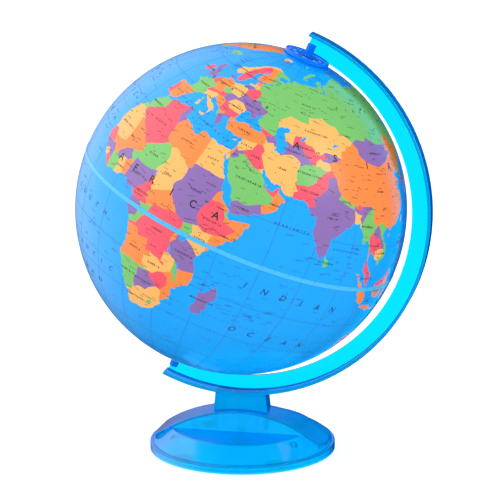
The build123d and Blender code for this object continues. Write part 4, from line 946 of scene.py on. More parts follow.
def inside(points: np.ndarray, outline: np.ndarray) -> np.ndarray:
    """Says which points lie inside an outline.

    Args:
        points: longitudes and latitudes, one row each.
        outline: the outline's corners, one row each.

    Returns:
        True for each point inside.
    """
    low, high = outline.min(0), outline.max(0)
    found = np.zeros(len(points), bool)
    near = np.nonzero(((points >= low) & (points <= high)).all(1))[0]
    if len(near):
        x, y = points[near, 0][:, None], points[near, 1][:, None]
        x0, y0 = outline[:, 0], outline[:, 1]
        x1, y1 = np.roll(x0, -1), np.roll(y0, -1)
        rise = np.where(y1 == y0, 1e-12, y1 - y0)
        crossed = ((y0 > y) != (y1 > y)) & (x < x0 + (y - y0) * (x1 - x0) / rise)
        found[near] = crossed.sum(1) % 2 == 1
    return found


@dataclass
class WorldShapes:
    """The outlines of land, water and countries, ready to cut the map along."""
    coast_bend: float = 0.11  # how far coasts wander, as a share of each run
    border_bend: float = 0.03  # the same for borders
    coast_step: float = 0.9  # degrees, the longest straight run of a coast
    border_step: float = 1.9  # degrees, the longest straight run of a border
    lands: list[np.ndarray] = field(default_factory=list)
    lakes: list[np.ndarray] = field(default_factory=list)
    countries: list[tuple[Ink, np.ndarray]] = field(default_factory=list)

    def __post_init__(self) -> None:
        """Reads the outlines and adds their copies across the 180 degree line."""
        for text, kept in ((LANDS, self.lands), (LAKES, self.lakes)):
            for _, outline in read_outlines(text):
                kept += self.copies(np.array(ragged(outline, self.coast_step, self.coast_bend)))
        for title, outline in read_outlines(COUNTRIES):
            copies = self.copies(np.array(ragged(outline, self.border_step, self.border_bend)))
            self.countries += [(Ink[title.split()[0]], copy) for copy in copies]

    @staticmethod
    def copies(corners: np.ndarray) -> list[np.ndarray]:
        """Gives an outline, and its copy one turn back where it crosses 180 degrees east."""
        back = corners - np.array((360.0, 0.0))
        return [corners, back] if corners[:, 0].max() > 180.0 and np.ptp(corners[:, 0]) < 350 else [corners]

    def is_land(self, points: np.ndarray) -> np.ndarray:
        """Says which points are land, lakes left out.

        Args:
            points: longitudes and latitudes, one row each.

        Returns:
            True for each point on land.
        """
        dry = np.zeros(len(points), bool)
        for outline in self.lands:
            dry |= inside(points, outline)
        for outline in self.lakes:
            dry &= ~inside(points, outline)
        return dry

    def inks_at(self, points: np.ndarray) -> list[Ink | None]:
        """Gives the ink of each point: the sea's, a country's, or None for land that no country claims.

        Args:
            points: longitudes and latitudes, one row each.

        Returns:
            An ink or None for each point.
        """
        dry = self.is_land(points)
        inks: list[Ink | None] = [None if d else Ink.SEA for d in dry]
        for ink, outline in self.countries:
            for i in np.nonzero(dry & inside(points, outline))[0]:
                inks[i] = ink
        return inks


# -------------------- the map print

@dataclass
class PrintedMap:
    """The two paper map halves: flat ink shapes cut along coasts and borders, wrapped onto the ball."""
    ball: Ball
    world: WorldShapes
    thickness: float = 0.3  # mm
    pole_hole: float = 4.6  # mm, the radius left open round each pole
    seam: float = 0.02  # degrees that each half stays off the equator
    step: float = 2.0  # degrees between grid points
    last_row: float = 86.0  # degrees, the row next to a pole hole
    thinned: tuple[tuple[float, int], ...] = ((81.0, 4), (68.0, 2))  # wider steps beyond these latitudes
    clear: float = 0.55  # degrees a grid point keeps from an outline
    outside: tuple[float, float] = (6.0, 1.0)  # degrees that outlines may pass the map's edges
    relief: float = 0.4  # how strongly the pale ridges show on land
    passes: int = 40  # how many triangles deep the ink spreads into unclaimed land
    smallest: float = 1e-7  # square degrees, below which a triangle is left out
    weld: float = 2e-7  # m, points closer than this are one

    def rows(self) -> list[tuple[float, float]]:
        """Gives each row's latitude and the step between its points, from south to north."""
        edge = math.degrees(math.acos(self.pole_hole / self.ball.radius))
        full = np.arange(-self.last_row, self.last_row + 0.1, self.step)
        lats = [-edge, *(float(v) for v in full), edge]
        return [(lat, self.step * next((times for limit, times in self.thinned if abs(lat) > limit), 1))
                for lat in lats]

    def corners_and_edges(self) -> tuple[list[Vector], list[tuple[int, int]]]:
        """Collects the points and the fixed lines that the map is cut along.

        Returns:
            The points and the lines between them, as pairs of point numbers.
        """
        points: list[Vector] = []
        edges: list[tuple[int, int]] = []

        def add_line(corners: list[tuple[float, float]], closed: bool) -> None:
            """Adds a fixed line through the corners."""
            first = len(points)
            points.extend(Vector(c) for c in corners)
            edges.extend((first + i, first + i + 1) for i in range(len(corners) - 1))
            if closed:
                edges.append((first + len(corners) - 1, first))

        rows = self.rows()
        edge = rows[-1][0]
        for lat, step in (rows[0], (0.0, self.step), rows[-1]):
            add_line([(float(v), lat) for v in np.arange(-180.0, 180.1, step)], False)
        for lon in (-180.0, 180.0):
            add_line([(lon, lat) for lat, _ in rows], False)
        limit = np.array((180.0 + self.outside[0], edge + self.outside[1]))
        for outline in self.world.lands + self.world.lakes + [shape for _, shape in self.world.countries]:
            add_line([tuple(c) for c in np.clip(outline, -limit, limit)], True)
        tree = KDTree(len(points))
        for i, point in enumerate(points):
            tree.insert((point.x, point.y, 0.0), i)
        tree.balance()
        for lat, step in rows[1:-1]:
            for lon in np.arange(-180.0 + step, 179.9, step):
                if tree.find((lon, lat, 0.0))[2] > self.clear:
                    points.append(Vector((float(lon), lat)))
        return points, edges

    def build(self) -> list[bpy.types.Object]:
        """Builds the two halves.

        Returns:
            The north half and the south half.
        """
        points, edges = self.corners_and_edges()
        flat, _, faces, *_ = delaunay_2d_cdt(points, edges, [], 0, 1e-5)
        flat = np.array([tuple(p) for p in flat], float)
        tri = np.array([f[:3] for f in faces if len(f) == 3], int)
        middle = flat[tri].mean(1)
        edge = self.rows()[-1][0]
        kept = (np.abs(middle[:, 0]) < 180.0) & (np.abs(middle[:, 1]) < edge)
        a, b = flat[tri[:, 1]] - flat[tri[:, 0]], flat[tri[:, 2]] - flat[tri[:, 0]]
        area = a[:, 0] * b[:, 1] - a[:, 1] * b[:, 0]
        kept &= np.abs(area) > self.smallest
        tri[area < 0] = tri[area < 0][:, ::-1]
        tri, middle = tri[kept], middle[kept]
        inks = self.spread(tri, self.world.inks_at(middle))
        reliefs = {ink: 0.0 if ink in (Ink.SEA, Ink.PAPER) else self.relief for ink in Ink}
        materials = [VarnishedPrint(f"varnished_print_{ink.name.lower()}", ink.value, relief).build()
            for ink, relief in reliefs.items()]
        made = []
        for half, sign in (("north", 1), ("south", -1)):
            here = np.nonzero(middle[:, 1] * sign > 0)[0]
            made.append(self.half_piece(half, sign, flat, tri[here], [inks[i] for i in here], materials))
        return made

    def spread(self, tri: np.ndarray, inks: list[Ink | None]) -> list[Ink]:
        """Gives land that no country claims the ink of the land beside it, and lone islands yellow.

        Args:
            tri: the triangles of the map.
            inks: the ink of each, or None where no country claims it.

        Returns:
            An ink for each triangle.
        """
        beside: dict[tuple[int, int], list[int]] = {}
        for i, face in enumerate(tri):
            for j in range(3):
                key = tuple(sorted((int(face[j]), int(face[j - 1]))))
                beside.setdefault(key, []).append(i)
        pairs = [p for p in beside.values() if len(p) == 2]
        for _ in range(self.passes):
            changed = False
            for one, two in pairs:
                for bare, dressed in ((one, two), (two, one)):
                    if inks[bare] is None and inks[dressed] not in (None, Ink.SEA):
                        inks[bare], changed = inks[dressed], True
            if not changed:
                break
        return [ink or Ink.YELLOW for ink in inks]

    def half_piece(self, half: str, sign: int, flat: np.ndarray, tri: np.ndarray, inks: list[Ink],
            materials: list[bpy.types.Material]) -> bpy.types.Object:
        """Wraps one half onto the ball as a closed paper shell.

        Args:
            half: "north" or "south".
            sign: 1 for north and -1 for south.
            flat: all points' longitudes and latitudes.
            tri: the half's triangles.
            inks: the ink of each triangle.
            materials: one material for each ink, in the inks' order.

        Returns:
            The half's object, riding on the ball.
        """
        used, tri = np.unique(tri, return_inverse=True)
        tri = tri.reshape(-1, 3)
        place = flat[used].copy()
        place[:, 1] = sign * np.maximum(sign * place[:, 1], self.seam)
        outer = self.ball.place(place[:, 0], place[:, 1], self.ball.radius)
        _, first, weld = np.unique(np.round(outer / self.weld).astype(np.int64), axis=0, return_index=True,
            return_inverse=True)
        place, outer, tri = place[first], outer[first], weld.reshape(-1)[tri]
        whole = (tri[:, 0] != tri[:, 1]) & (tri[:, 1] != tri[:, 2]) & (tri[:, 2] != tri[:, 0])
        tri, inks = tri[whole], [ink for ink, good in zip(inks, whole) if good]
        inner = self.ball.place(place[:, 0], place[:, 1], self.ball.radius - self.thickness)
        count = len(outer)
        sides: dict[tuple[int, int], int] = {}
        for face in tri:
            for j in range(3):
                sides[(int(face[j]), int(face[(j + 1) % 3]))] = 1
        rim = [(a, b) for a, b in sides if (b, a) not in sides]
        faces = [tuple(f) for f in tri] + [tuple(f[::-1] + count) for f in tri]
        faces += [(b, a, a + count, b + count) for a, b in rim]
        order = list(Ink)
        numbers = [order.index(ink) for ink in inks] + [order.index(Ink.PAPER)] * (len(tri) + len(rim))
        piece = mesh_piece(f"{half}_map_print", np.vstack((outer, inner)), faces, materials,
            np.array(numbers), smooth=True)
        rays = np.vstack((outer, inner)) - np.array(self.ball.centre)
        rays /= np.linalg.norm(rays, axis=1)[:, None]
        loops = np.zeros(len(piece.data.loops), int)
        piece.data.loops.foreach_get("vertex_index", loops)
        normals = rays[loops] * np.where(loops < count, 1.0, -1.0)[:, None]
        piece.data.normals_split_custom_set([tuple(n) for n in normals])
        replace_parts(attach(piece, "globe"), f"{half}_map")
        log.info("%s: %d faces, %d edge strips", piece.name, len(faces), len(rim))
        return piece


# -------------------- lines, names and marks

@dataclass
class RaisedPrint:
    """Collects printed shapes a hair proud of a surface and makes one piece of them."""
    name: str
    body: str
    slot: str
    points: list[np.ndarray] = field(default_factory=list)
    faces: list[tuple[int, ...]] = field(default_factory=list)
    inks: list[int] = field(default_factory=list)
    count: int = 0

    def add(self, points: np.ndarray, faces: list[tuple[int, ...]], ink: int = 0) -> None:
        """Adds one shape.

        Args:
            points: its points in metres.
            faces: its faces, by point number.
            ink: the material number of its faces.
        """
        self.points.append(points)
        self.faces += [tuple(i + self.count for i in face) for face in faces]
        self.inks += [ink] * len(faces)
        self.count += len(points)

    def finish(self, materials: list[bpy.types.Material]) -> bpy.types.Object:
        """Makes the piece, on its body.

        Args:
            materials: the materials that the ink numbers count through.

        Returns:
            The new piece.
        """
        piece = mesh_piece(self.name, np.vstack(self.points), self.faces, materials, np.array(self.inks))
        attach(piece, self.body)
        log.info("%s: %d faces", self.name, len(self.faces))
        return piece


def strip_faces(steps: int) -> list[tuple[int, ...]]:
    """Gives the faces of a thin bar with four corners at each of its steps, closed at both ends.

    Args:
        steps: how many times the bar's four corners are given.

    Returns:
        The faces, by point number.
    """
    faces = [(3, 2, 1, 0)]
    for i in range(0, 4 * (steps - 1), 4):
        faces += [(i + a, i + b, i + b + 4, i + a + 4) for a, b in ((0, 1), (1, 2), (2, 3), (3, 0))]
    last = 4 * (steps - 1)
    return faces + [(last, last + 1, last + 2, last + 3)]


def prism_faces(sides: int) -> list[tuple[int, ...]]:
    """Gives the faces of a prism whose bottom corners come first and its top corners after them."""
    walls = [(i, (i + 1) % sides, (i + 1) % sides + sides, i + sides) for i in range(sides)]
    return [tuple(range(sides - 1, -1, -1)), tuple(range(sides, 2 * sides))] + walls


@dataclass
class Graticule:
    """The thin grid lines over the seas, every so many degrees, with dashes along the tropics."""
    ball: Ball
    world: WorldShapes
    spacing: float = 15.0  # degrees
    width: float = 0.32  # mm
    proud: float = 0.025  # mm above the paper
    sunk: float = 0.04  # mm into the paper
    fine: float = 1.0  # degrees between a line's points
    last: float = 75.0  # degrees, the latitude of the last ring
    reach: float = 80.0  # degrees, where the meridians end
    tape: float = 1.0  # degrees kept free on each side of the equator
    dashed: tuple[float, ...] = (-66.5, -23.5, 23.5, 66.5)  # the polar circles and the tropics
    dash_step: float = 2.4  # degrees from dash to dash
    dash: float = 1.4  # degrees, the length of a dash

    def build(self) -> bpy.types.Object:
        """Builds the lines as one piece."""
        lines = RaisedPrint("sea_grid_lines", "globe", "map_print")
        for lat in np.arange(-self.last, self.last + 0.1, self.spacing):
            if abs(lat) > self.tape:
                lon = np.arange(-180.0, 180.1, self.fine)
                self.draw(lines, np.stack((lon, np.full_like(lon, lat)), 1))
        for lon in np.arange(-180.0, 179.0, self.spacing):
            for low, high in ((-self.reach, -self.tape), (self.tape, self.reach)):
                lat = np.arange(low, high + 0.1, self.fine)
                self.draw(lines, np.stack((np.full_like(lat, lon), lat), 1))
        for lat in self.dashed:
            for start in np.arange(-180.0, 180.0, self.dash_step):
                lon = np.array((start, start + self.dash / 2, start + self.dash))
                self.draw(lines, np.stack((lon, np.full_like(lon, lat)), 1))
        return lines.finish([PrintingInk("map_ink_navy", "#1B5FA8").build()])

    def draw(self, lines: RaisedPrint, route: np.ndarray) -> None:
        """Draws the parts of a route that cross the sea.

        Args:
            lines: the piece that gets them.
            route: longitudes and latitudes along the line.
        """
        sea = ~self.world.is_land(route)
        start = 0
        while start < len(route):
            if not sea[start]:
                start += 1
                continue
            end = start
            while end + 1 < len(route) and sea[end + 1]:
                end += 1
            if end > start:
                self.bar(lines, route[start:end + 1])
            start = end + 1

    def bar(self, lines: RaisedPrint, route: np.ndarray) -> None:
        """Adds one thin bar along a route.

        Args:
            lines: the piece that gets it.
            route: longitudes and latitudes along its middle.
        """
        across = math.degrees(self.width / 2 / self.ball.radius)
        level = abs(route[0, 1] - route[-1, 1]) < 1e-6
        shrink = np.cos(np.radians(route[:, 1]))[:, None]
        side = np.array((0.0, across)) if level else np.array((across, 0.0)) / shrink
        left, right = route - side, route + side
        low, high = self.ball.radius - self.sunk, self.ball.radius + self.proud
        corners = np.stack([self.ball.place(p[:, 0], p[:, 1], r)
                for p, r in ((left, low), (right, low), (right, high), (left, high))], 1)
        lines.add(corners.reshape(-1, 3), strip_faces(len(route)))


@dataclass
class Type:
    """Letters cut from Blender's own font, kept once each."""
    glyphs: dict[str, tuple[np.ndarray, list[tuple[int, ...]]]] = field(default_factory=dict)
    cap_height: float = 0.69  # of the font's size
    bold: float = 0.022  # how far a stroke grows on each side, in cap heights

    def glyph(self, letter: str) -> tuple[np.ndarray, list[tuple[int, ...]]]:
        """Gives a letter as a thin plate one unit high, centred across its width.

        Args:
            letter: one character.

        Returns:
            Its points, with heights of -1 and 1 for bottom and top, and its faces.
        """
        if letter not in self.glyphs:
            curve = bpy.data.curves.new("letter", "FONT")
            curve.body, curve.size, curve.resolution_u, curve.extrude = letter, 1.0 / self.cap_height, 3, 1.0
            curve.offset = self.bold
            holder = add_object("letter", curve)
            bpy.context.view_layer.update()
            graph = bpy.context.evaluated_depsgraph_get()
            mesh = bpy.data.meshes.new_from_object(holder.evaluated_get(graph))
            raw = np.array([tuple(v.co) for v in mesh.vertices], float)
            kept, weld = np.unique(np.round(raw, 5), axis=0, return_inverse=True)
            weld = weld.reshape(-1)
            faces = []
            for polygon in mesh.polygons:
                face = [int(weld[v]) for v in polygon.vertices]
                if len(set(face)) == len(face):
                    faces.append(tuple(face))
            kept[:, 0] -= (kept[:, 0].min() + kept[:, 0].max()) / 2
            kept[:, 1] -= 0.5
            bpy.data.objects.remove(holder)
            bpy.data.curves.remove(curve)
            bpy.data.meshes.remove(mesh)
            self.glyphs[letter] = (kept, faces)
        return self.glyphs[letter]


@dataclass(frozen=True)
class SpacedName:
    """A large name whose letters are spread from one place to another."""
    word: str
    first: tuple[float, float]
    last: tuple[float, float]
    height: float  # mm
    slant: float = 0.0  # how far a letter's top leans, as a share of its height


@dataclass
class PlaceNames:
    """Names of continents, seas and countries, in plain capitals, wrapped onto the ball."""
    ball: Ball
    kind: Type
    proud: float = 0.03  # mm above the paper
    sunk: float = 0.04  # mm into the paper
    pitch: float = 1.18  # letter spacing of a short name, in letter heights
    small: float = 1.55  # mm, height of a country's name
    spaced: tuple[SpacedName, ...] = (
        SpacedName("AFRICA", (-2.6, 10.6), (39.8, 10.2), 5.4),
        SpacedName("ASIA", (57.7, 42.0), (114.6, 42.0), 5.2),
        SpacedName("EUROPE", (2.0, 51.0), (38.0, 51.0), 2.6),
        SpacedName("NORTHAMERICA", (-128.0, 47.0), (-72.0, 47.0), 4.2),
        SpacedName("SOUTHAMERICA", (-75.0, -10.0), (-41.0, -10.0), 3.2),
        SpacedName("AUSTRALIA", (119.0, -25.0), (149.0, -25.0), 3.8),
        SpacedName("ANTARCTICA", (20.0, -79.0), (150.0, -79.0), 3.4),
        SpacedName("INDIAN", (57.6, -7.4), (92.4, -8.4), 4.6, 0.25),
        SpacedName("OCEAN", (60.8, -25.4), (90.3, -25.8), 4.6, 0.25),
        SpacedName("SOUTH", (-22.0, -8.4), (0.7, -8.6), 4.0, 0.25),
        SpacedName("ATLANTIC", (-32.0, -26.2), (8.3, -26.2), 4.0, 0.25),
        SpacedName("OCEAN", (-26.0, -35.0), (0.0, -35.0), 4.0, 0.25),
        SpacedName("NORTH", (-60.0, 38.0), (-36.0, 38.0), 4.0, 0.25),
        SpacedName("ATLANTIC", (-62.0, 28.0), (-24.0, 28.0), 4.0, 0.25),
        SpacedName("OCEAN", (-56.0, 18.0), (-32.0, 18.0), 4.0, 0.25),
        SpacedName("NORTH", (168.0, 34.0), (196.0, 34.0), 4.2, 0.25),
        SpacedName("PACIFIC", (160.0, 22.0), (206.0, 22.0), 4.2, 0.25),
        SpacedName("OCEAN", (168.0, 10.0), (196.0, 10.0), 4.2, 0.25),
        SpacedName("SOUTH", (212.0, -18.0), (240.0, -18.0), 4.2, 0.25),
        SpacedName("PACIFIC", (206.0, -30.0), (248.0, -30.0), 4.2, 0.25),
        SpacedName("OCEAN", (212.0, -42.0), (240.0, -42.0), 4.2, 0.25),
        SpacedName("SOUTHERNOCEAN", (20.0, -58.0), (120.0, -58.0), 3.6, 0.25),
        SpacedName("ARCTICOCEAN", (40.0, 80.0), (150.0, 80.0), 2.4, 0.25),
        SpacedName("ARABIANSEA", (58.9, 15.4), (71.0, 15.3), 1.9, 0.2),
        SpacedName("BAYOFBENGAL", (82.5, 12.5), (93.5, 12.5), 1.4, 0.2),
        SpacedName("MEDITERRANEAN", (5.0, 37.9), (31.0, 33.6), 1.4, 0.2),
        SpacedName("BLACKSEA", (30.5, 43.3), (39.0, 43.0), 1.3, 0.2),
        SpacedName("CARIBBEANSEA", (-82.0, 15.5), (-65.0, 15.5), 1.6, 0.2),
        SpacedName("CORALSEA", (149.0, -17.0), (160.0, -17.0), 1.8, 0.2),
        SpacedName("TASMANSEA", (153.0, -38.0), (166.0, -38.0), 1.8, 0.2),
        SpacedName("SIBERIA", (82.0, 62.0), (132.0, 62.0), 2.2),
    )
    countries: str = ("ALGERIA 2.5 27.5; LIBYA 17.5 27; EGYPT 30 26; MALI -3 18; NIGER 9.5 17.5; "
        "CHAD 18.5 14.5; SUDAN 30 14.5; NIGERIA 8 9.6; ETHIOPIA 39.5 7.8; SOMALIA 46 5; "
        "KENYA 38 0.9; CONGO 23.5 -3; TANZANIA 35 -6; ANGOLA 17.8 -12.5; ZAMBIA 26.5 -14.6; "
        "NAMIBIA 17 -22; BOTSWANA 24 -22.5; MOROCCO -6 31.8; MAURITANIA -10.5 20; "
        "MADAGASCAR 46.5 -19; SAUDIARABIA 45 24.5; YEMEN 47 15.6; OMAN 56.5 20.5; "
        "IRAQ 43.5 32.8; IRAN 54.5 32.5; SYRIA 38.5 35; TURKEY 34.5 39.2; "
        "KAZAKHSTAN 66 48.5; UZBEKISTAN 63.5 42; TURKMENISTAN 59 39.4; AFGHANISTAN 66 33.8; "
        "PAKISTAN 67.5 28.3; INDIA 78.5 22; NEPAL 84 28.3; CHINA 103 33.5; "
        "MONGOLIA 104 46.3; THAILAND 101 15.4; MYANMAR 95.7 21.5; VIETNAM 106 12.8; "
        "MALAYSIA 102.2 4; INDONESIA 113.5 -1; RUSSIA 60 58.5; UKRAINE 31.5 48.7; "
        "POLAND 19 52; FRANCE 2.5 47; SPAIN -3.8 39.8; ITALY 11.6 43.9; SWEDEN 15.5 60; "
        "FINLAND 26 63; NORWAY 8.8 61; GERMANY 10.5 51.4; ROMANIA 25 45.7; "
        "SRILANKA 80.7 7.5; GREENLAND -42 72; CANADA -105 58; UNITEDSTATES -98 39.5; "
        "MEXICO -102 24; BRAZIL -52 -8; PERU -75 -10.5; BOLIVIA -64.5 -17; "
        "ARGENTINA -65.5 -34; CHILE -71.3 -30; COLOMBIA -73 4; VENEZUELA -66 7.2; "
        "JAPAN 138.2 36.2; PHILIPPINES 122.5 15.8; NEWZEALAND 171.5 -43; CUBA -79 21.8; "
        "SOUTHAFRICA 23.5 -30.5; GABON 11.9 -0.6; CAMEROON 12.4 5.2; GHANA -1.1 7.8; "
        "IRELAND -8 53.2")

    def build(self) -> bpy.types.Object:
        """Builds all names as one piece."""
        names = RaisedPrint("place_names", "globe", "map_print")
        for name in self.spaced:
            ink = 1 if name.slant else 0
            for i, letter in enumerate(name.word):
                share = i / (len(name.word) - 1)
                place = [a + share * (b - a) for a, b in zip(name.first, name.last)]
                self.letter(names, letter, place[0], place[1], name.height, name.slant, ink)
        for entry in self.countries.split(";"):
            word, lon, lat = entry.split()
            shrink = math.cos(math.radians(float(lat)))
            gap = math.degrees(self.small * self.pitch / self.ball.radius) / shrink
            for i, letter in enumerate(word):
                self.letter(names, letter, float(lon) + gap * (i - (len(word) - 1) / 2), float(lat),
                    self.small, 0.0, 0)
        return names.finish([PrintingInk("map_ink_black", "#241F1C").build(),
                    PrintingInk("map_ink_deep_blue", "#0B3A86").build()])

    def letter(self, names: RaisedPrint, letter: str, lon: float, lat: float, height: float, slant: float,
            ink: int) -> None:
        """Wraps one letter onto the ball, upright along its meridian.

        Args:
            names: the piece that gets it.
            letter: one character.
            lon: its place, in degrees.
            lat: its place, in degrees.
            height: its height in millimetres.
            slant: how far its top leans, as a share of its height.
            ink: its material number.
        """
        points, faces = self.kind.glyph(letter)
        x = (points[:, 0] + slant * points[:, 1]) * height
        y = points[:, 1] * height
        up = math.degrees(1.0 / self.ball.radius)
        radius = self.ball.radius + np.where(points[:, 2] > 0, self.proud, -self.sunk)
        where = self.ball.place(lon + x * up / math.cos(math.radians(lat)), lat + y * up, radius)
        names.add(where, faces, ink)


@dataclass
class SmallPrint:
    """Rows of short strokes and town dots that stand for the map's smallest print."""
    ball: Ball
    world: WorldShapes
    rows: int = 2700
    towns: int = 800
    stroke: float = 0.3  # mm wide
    gap: float = 0.62  # mm from stroke to stroke
    height: float = 0.85  # mm
    proud: float = 0.02  # mm above the paper
    sunk: float = 0.03  # mm into the paper
    town: float = 0.38  # mm, radius of a town dot
    seed: int = 11
    far_north: float = 0.97  # sine of the highest latitude with small print
    tape: float = 2.0  # degrees kept free on each side of the equator
    bare_sea: float = 0.86  # share of the rows at sea that are left out
    blank: float = 0.08  # share of the strokes left out, as between words
    island_rows: int = 9  # rows round each island group
    island_spread: tuple[float, float] = (3.2, 2.4)  # degrees that they stray, east and north
    islands: tuple[tuple[float, float], ...] = (
        (55, -5), (44, -12), (57, -20), (73, 4), (72, -8), (50, -9), (62, -14), (66, -19), (-28, 38),
        (-16, 28), (-24, 15), (18, 35), (5, 39), (33, 34), (20, 33), (36, 43), (6, 4), (-6, -16),
        (-14, -8), (-10, -37), (112, -5), (125, 8), (93, 12), (88, 5), (97, -12), (40, -46), (68, -49),
        (3, 60), (-2, 66), (20, 76), (145, 20), (160, 8), (175, -15), (-150, -17), (-157, 20), (-75, 23),
        (-62, 15), (-90, -1), (-60, -52), (140, 35), (-30, 62), (-50, 44), (170, 54), (-170, 52),
        (-140, -5), (-110, -27))

    def build(self) -> bpy.types.Object:
        """Builds all strokes and dots as one piece."""
        marks = RaisedPrint("small_print", "globe", "map_print")
        draw = random.Random(self.seed)
        spots = np.array([(draw.uniform(-180, 180),
                    math.degrees(math.asin(draw.uniform(-self.far_north, self.far_north))))
                for _ in range(self.rows + self.towns)])
        east, north = self.island_spread
        round_islands = np.array([(lon + draw.gauss(0.0, east), lat + draw.gauss(0.0, north))
                for lon, lat in self.islands for _ in range(self.island_rows)])
        spots = np.vstack([round_islands, spots])
        dry = self.world.is_land(spots)
        for i, ((lon, lat), land) in enumerate(zip(spots, dry)):
            if abs(lat) < self.tape:
                continue
            if i >= self.rows + len(round_islands):
                if land:
                    self.dot(marks, lon, lat)
                continue
            if not land and i >= len(round_islands) and draw.random() < self.bare_sea:
                continue
            letters = draw.randint(4, 10)
            tilt = draw.choice((0.0, 0.0, 0.0, 0.25, -0.3)) if land else draw.choice((0.0, 0.0, 0.15))
            size = draw.choice((0.8, 1.0, 1.0, 1.25))
            for j in range(letters):
                if draw.random() < self.blank:
                    continue
                tall = self.height * size * draw.choice((0.55, 0.6, 1.0))
                x = (j - letters / 2) * self.gap * size
                self.box(marks, lon, lat, x, x * tilt, self.stroke * size, tall, 0 if land else 1)
        return marks.finish([PrintingInk("map_ink_brown", "#3A2824").build(),
                    PrintingInk("map_ink_sea_print", "#0C4690").build()])

    def box(self, marks: RaisedPrint, lon: float, lat: float, x: float, y: float, wide: float, tall: float,
            ink: int) -> None:
        """Adds one upright stroke at a place, shifted along and across its row in millimetres.

        Args:
            marks: the piece that gets it.
            lon: the row's place, in degrees.
            lat: the row's place, in degrees.
            x: millimetres along the row.
            y: millimetres above it.
            wide: its width in millimetres.
            tall: its height in millimetres.
            ink: its material number.
        """
        up = math.degrees(1.0 / self.ball.radius)
        left, right = x - wide / 2, x + wide / 2
        corners = np.array([(left, y), (right, y), (right, y + tall), (left, y + tall)])
        east = lon + corners[:, 0] * up / math.cos(math.radians(lat))
        self.plate(marks, east, lat + corners[:, 1] * up, ink)

    def dot(self, marks: RaisedPrint, lon: float, lat: float) -> None:
        """Adds one six-sided town dot."""
        up = math.degrees(self.town / self.ball.radius)
        turn = np.radians(np.arange(0, 360, 60))
        self.plate(marks, lon + up * np.cos(turn) / math.cos(math.radians(lat)), lat + up * np.sin(turn), 0)

    def plate(self, marks: RaisedPrint, lon: np.ndarray, lat: np.ndarray, ink: int) -> None:
        """Adds one flat plate with these corners, a hair proud of the paper."""
        heights = self.ball.radius - self.sunk, self.ball.radius + self.proud
        points = np.vstack([self.ball.place(lon, lat, height) for height in heights])
        marks.add(points, prism_faces(len(lon)), ink)


@dataclass
class HourMarks:
    """The moulded hour ring on the dial: a tick for each hour and a number at every third."""
    ball: Ball
    kind: Type
    face: float = 129.45  # mm from the ball's centre to the dial's face
    proud: float = 0.3  # mm
    sunk: float = 0.05  # mm
    ring: float = 15.7  # mm, where the ticks end
    long_tick: float = 2.6  # mm
    short_tick: float = 1.4  # mm
    tick_width: float = 0.5  # mm
    number_ring: float = 10.6  # mm
    number_height: float = 2.5  # mm
    letter_gap: float = 1.9  # mm from digit to digit
    dye: tuple[float, float, float] = (0.0, 0.9, 0.99)

    def build(self) -> bpy.types.Object:
        """Builds the marks as one piece."""
        marks = RaisedPrint("hour_marks", "dial", "dial_plastic")
        for hour in range(24):
            angle = math.radians(15.0 * hour)
            out = np.array((math.cos(angle), math.sin(angle)))
            side = np.array((-out[1], out[0]))
            start = self.ring - (self.short_tick if hour % 3 else self.long_tick)
            inner, outer, half = out * start, out * self.ring, side * self.tick_width / 2
            flat = np.array([inner - half, outer - half, outer + half, inner + half])
            points = np.vstack([self.ball.disc(flat[:, 0], flat[:, 1], self.face + d)
                    for d in (-self.sunk, self.proud)])
            marks.add(points, prism_faces(4))
            if hour % 3 == 0:
                self.number(marks, str(hour or 24), out, side)
        return marks.finish([TintedStyrene("moulded_styrene_hour_marks", self.dye, depth=600.0, roughness=0.2,
                        milk=0.8, milk_colour="#8CCBFF").build()])

    def number(self, marks: RaisedPrint, text: str, out: np.ndarray, side: np.ndarray) -> None:
        """Adds one number whose top points outward.

        Args:
            marks: the piece that gets it.
            text: its digits.
            out: the direction away from the pin.
            side: the direction round the dial.
        """
        for i, digit in enumerate(text):
            points, faces = self.kind.glyph(digit)
            along = points[:, 0] * self.number_height + (i - (len(text) - 1) / 2) * self.letter_gap
            up = points[:, 1] * self.number_height
            flat = out * (self.number_ring + up)[:, None] - side * along[:, None]
            height = self.face + np.where(points[:, 2] > 0, self.proud, -self.sunk)
            marks.add(self.ball.disc(flat[:, 0], flat[:, 1], height), faces)


# -------------------- the CAD model's own parts

Finish = TintedStyrene | OpaqueMoulding | WorkedSteel | TapePrint


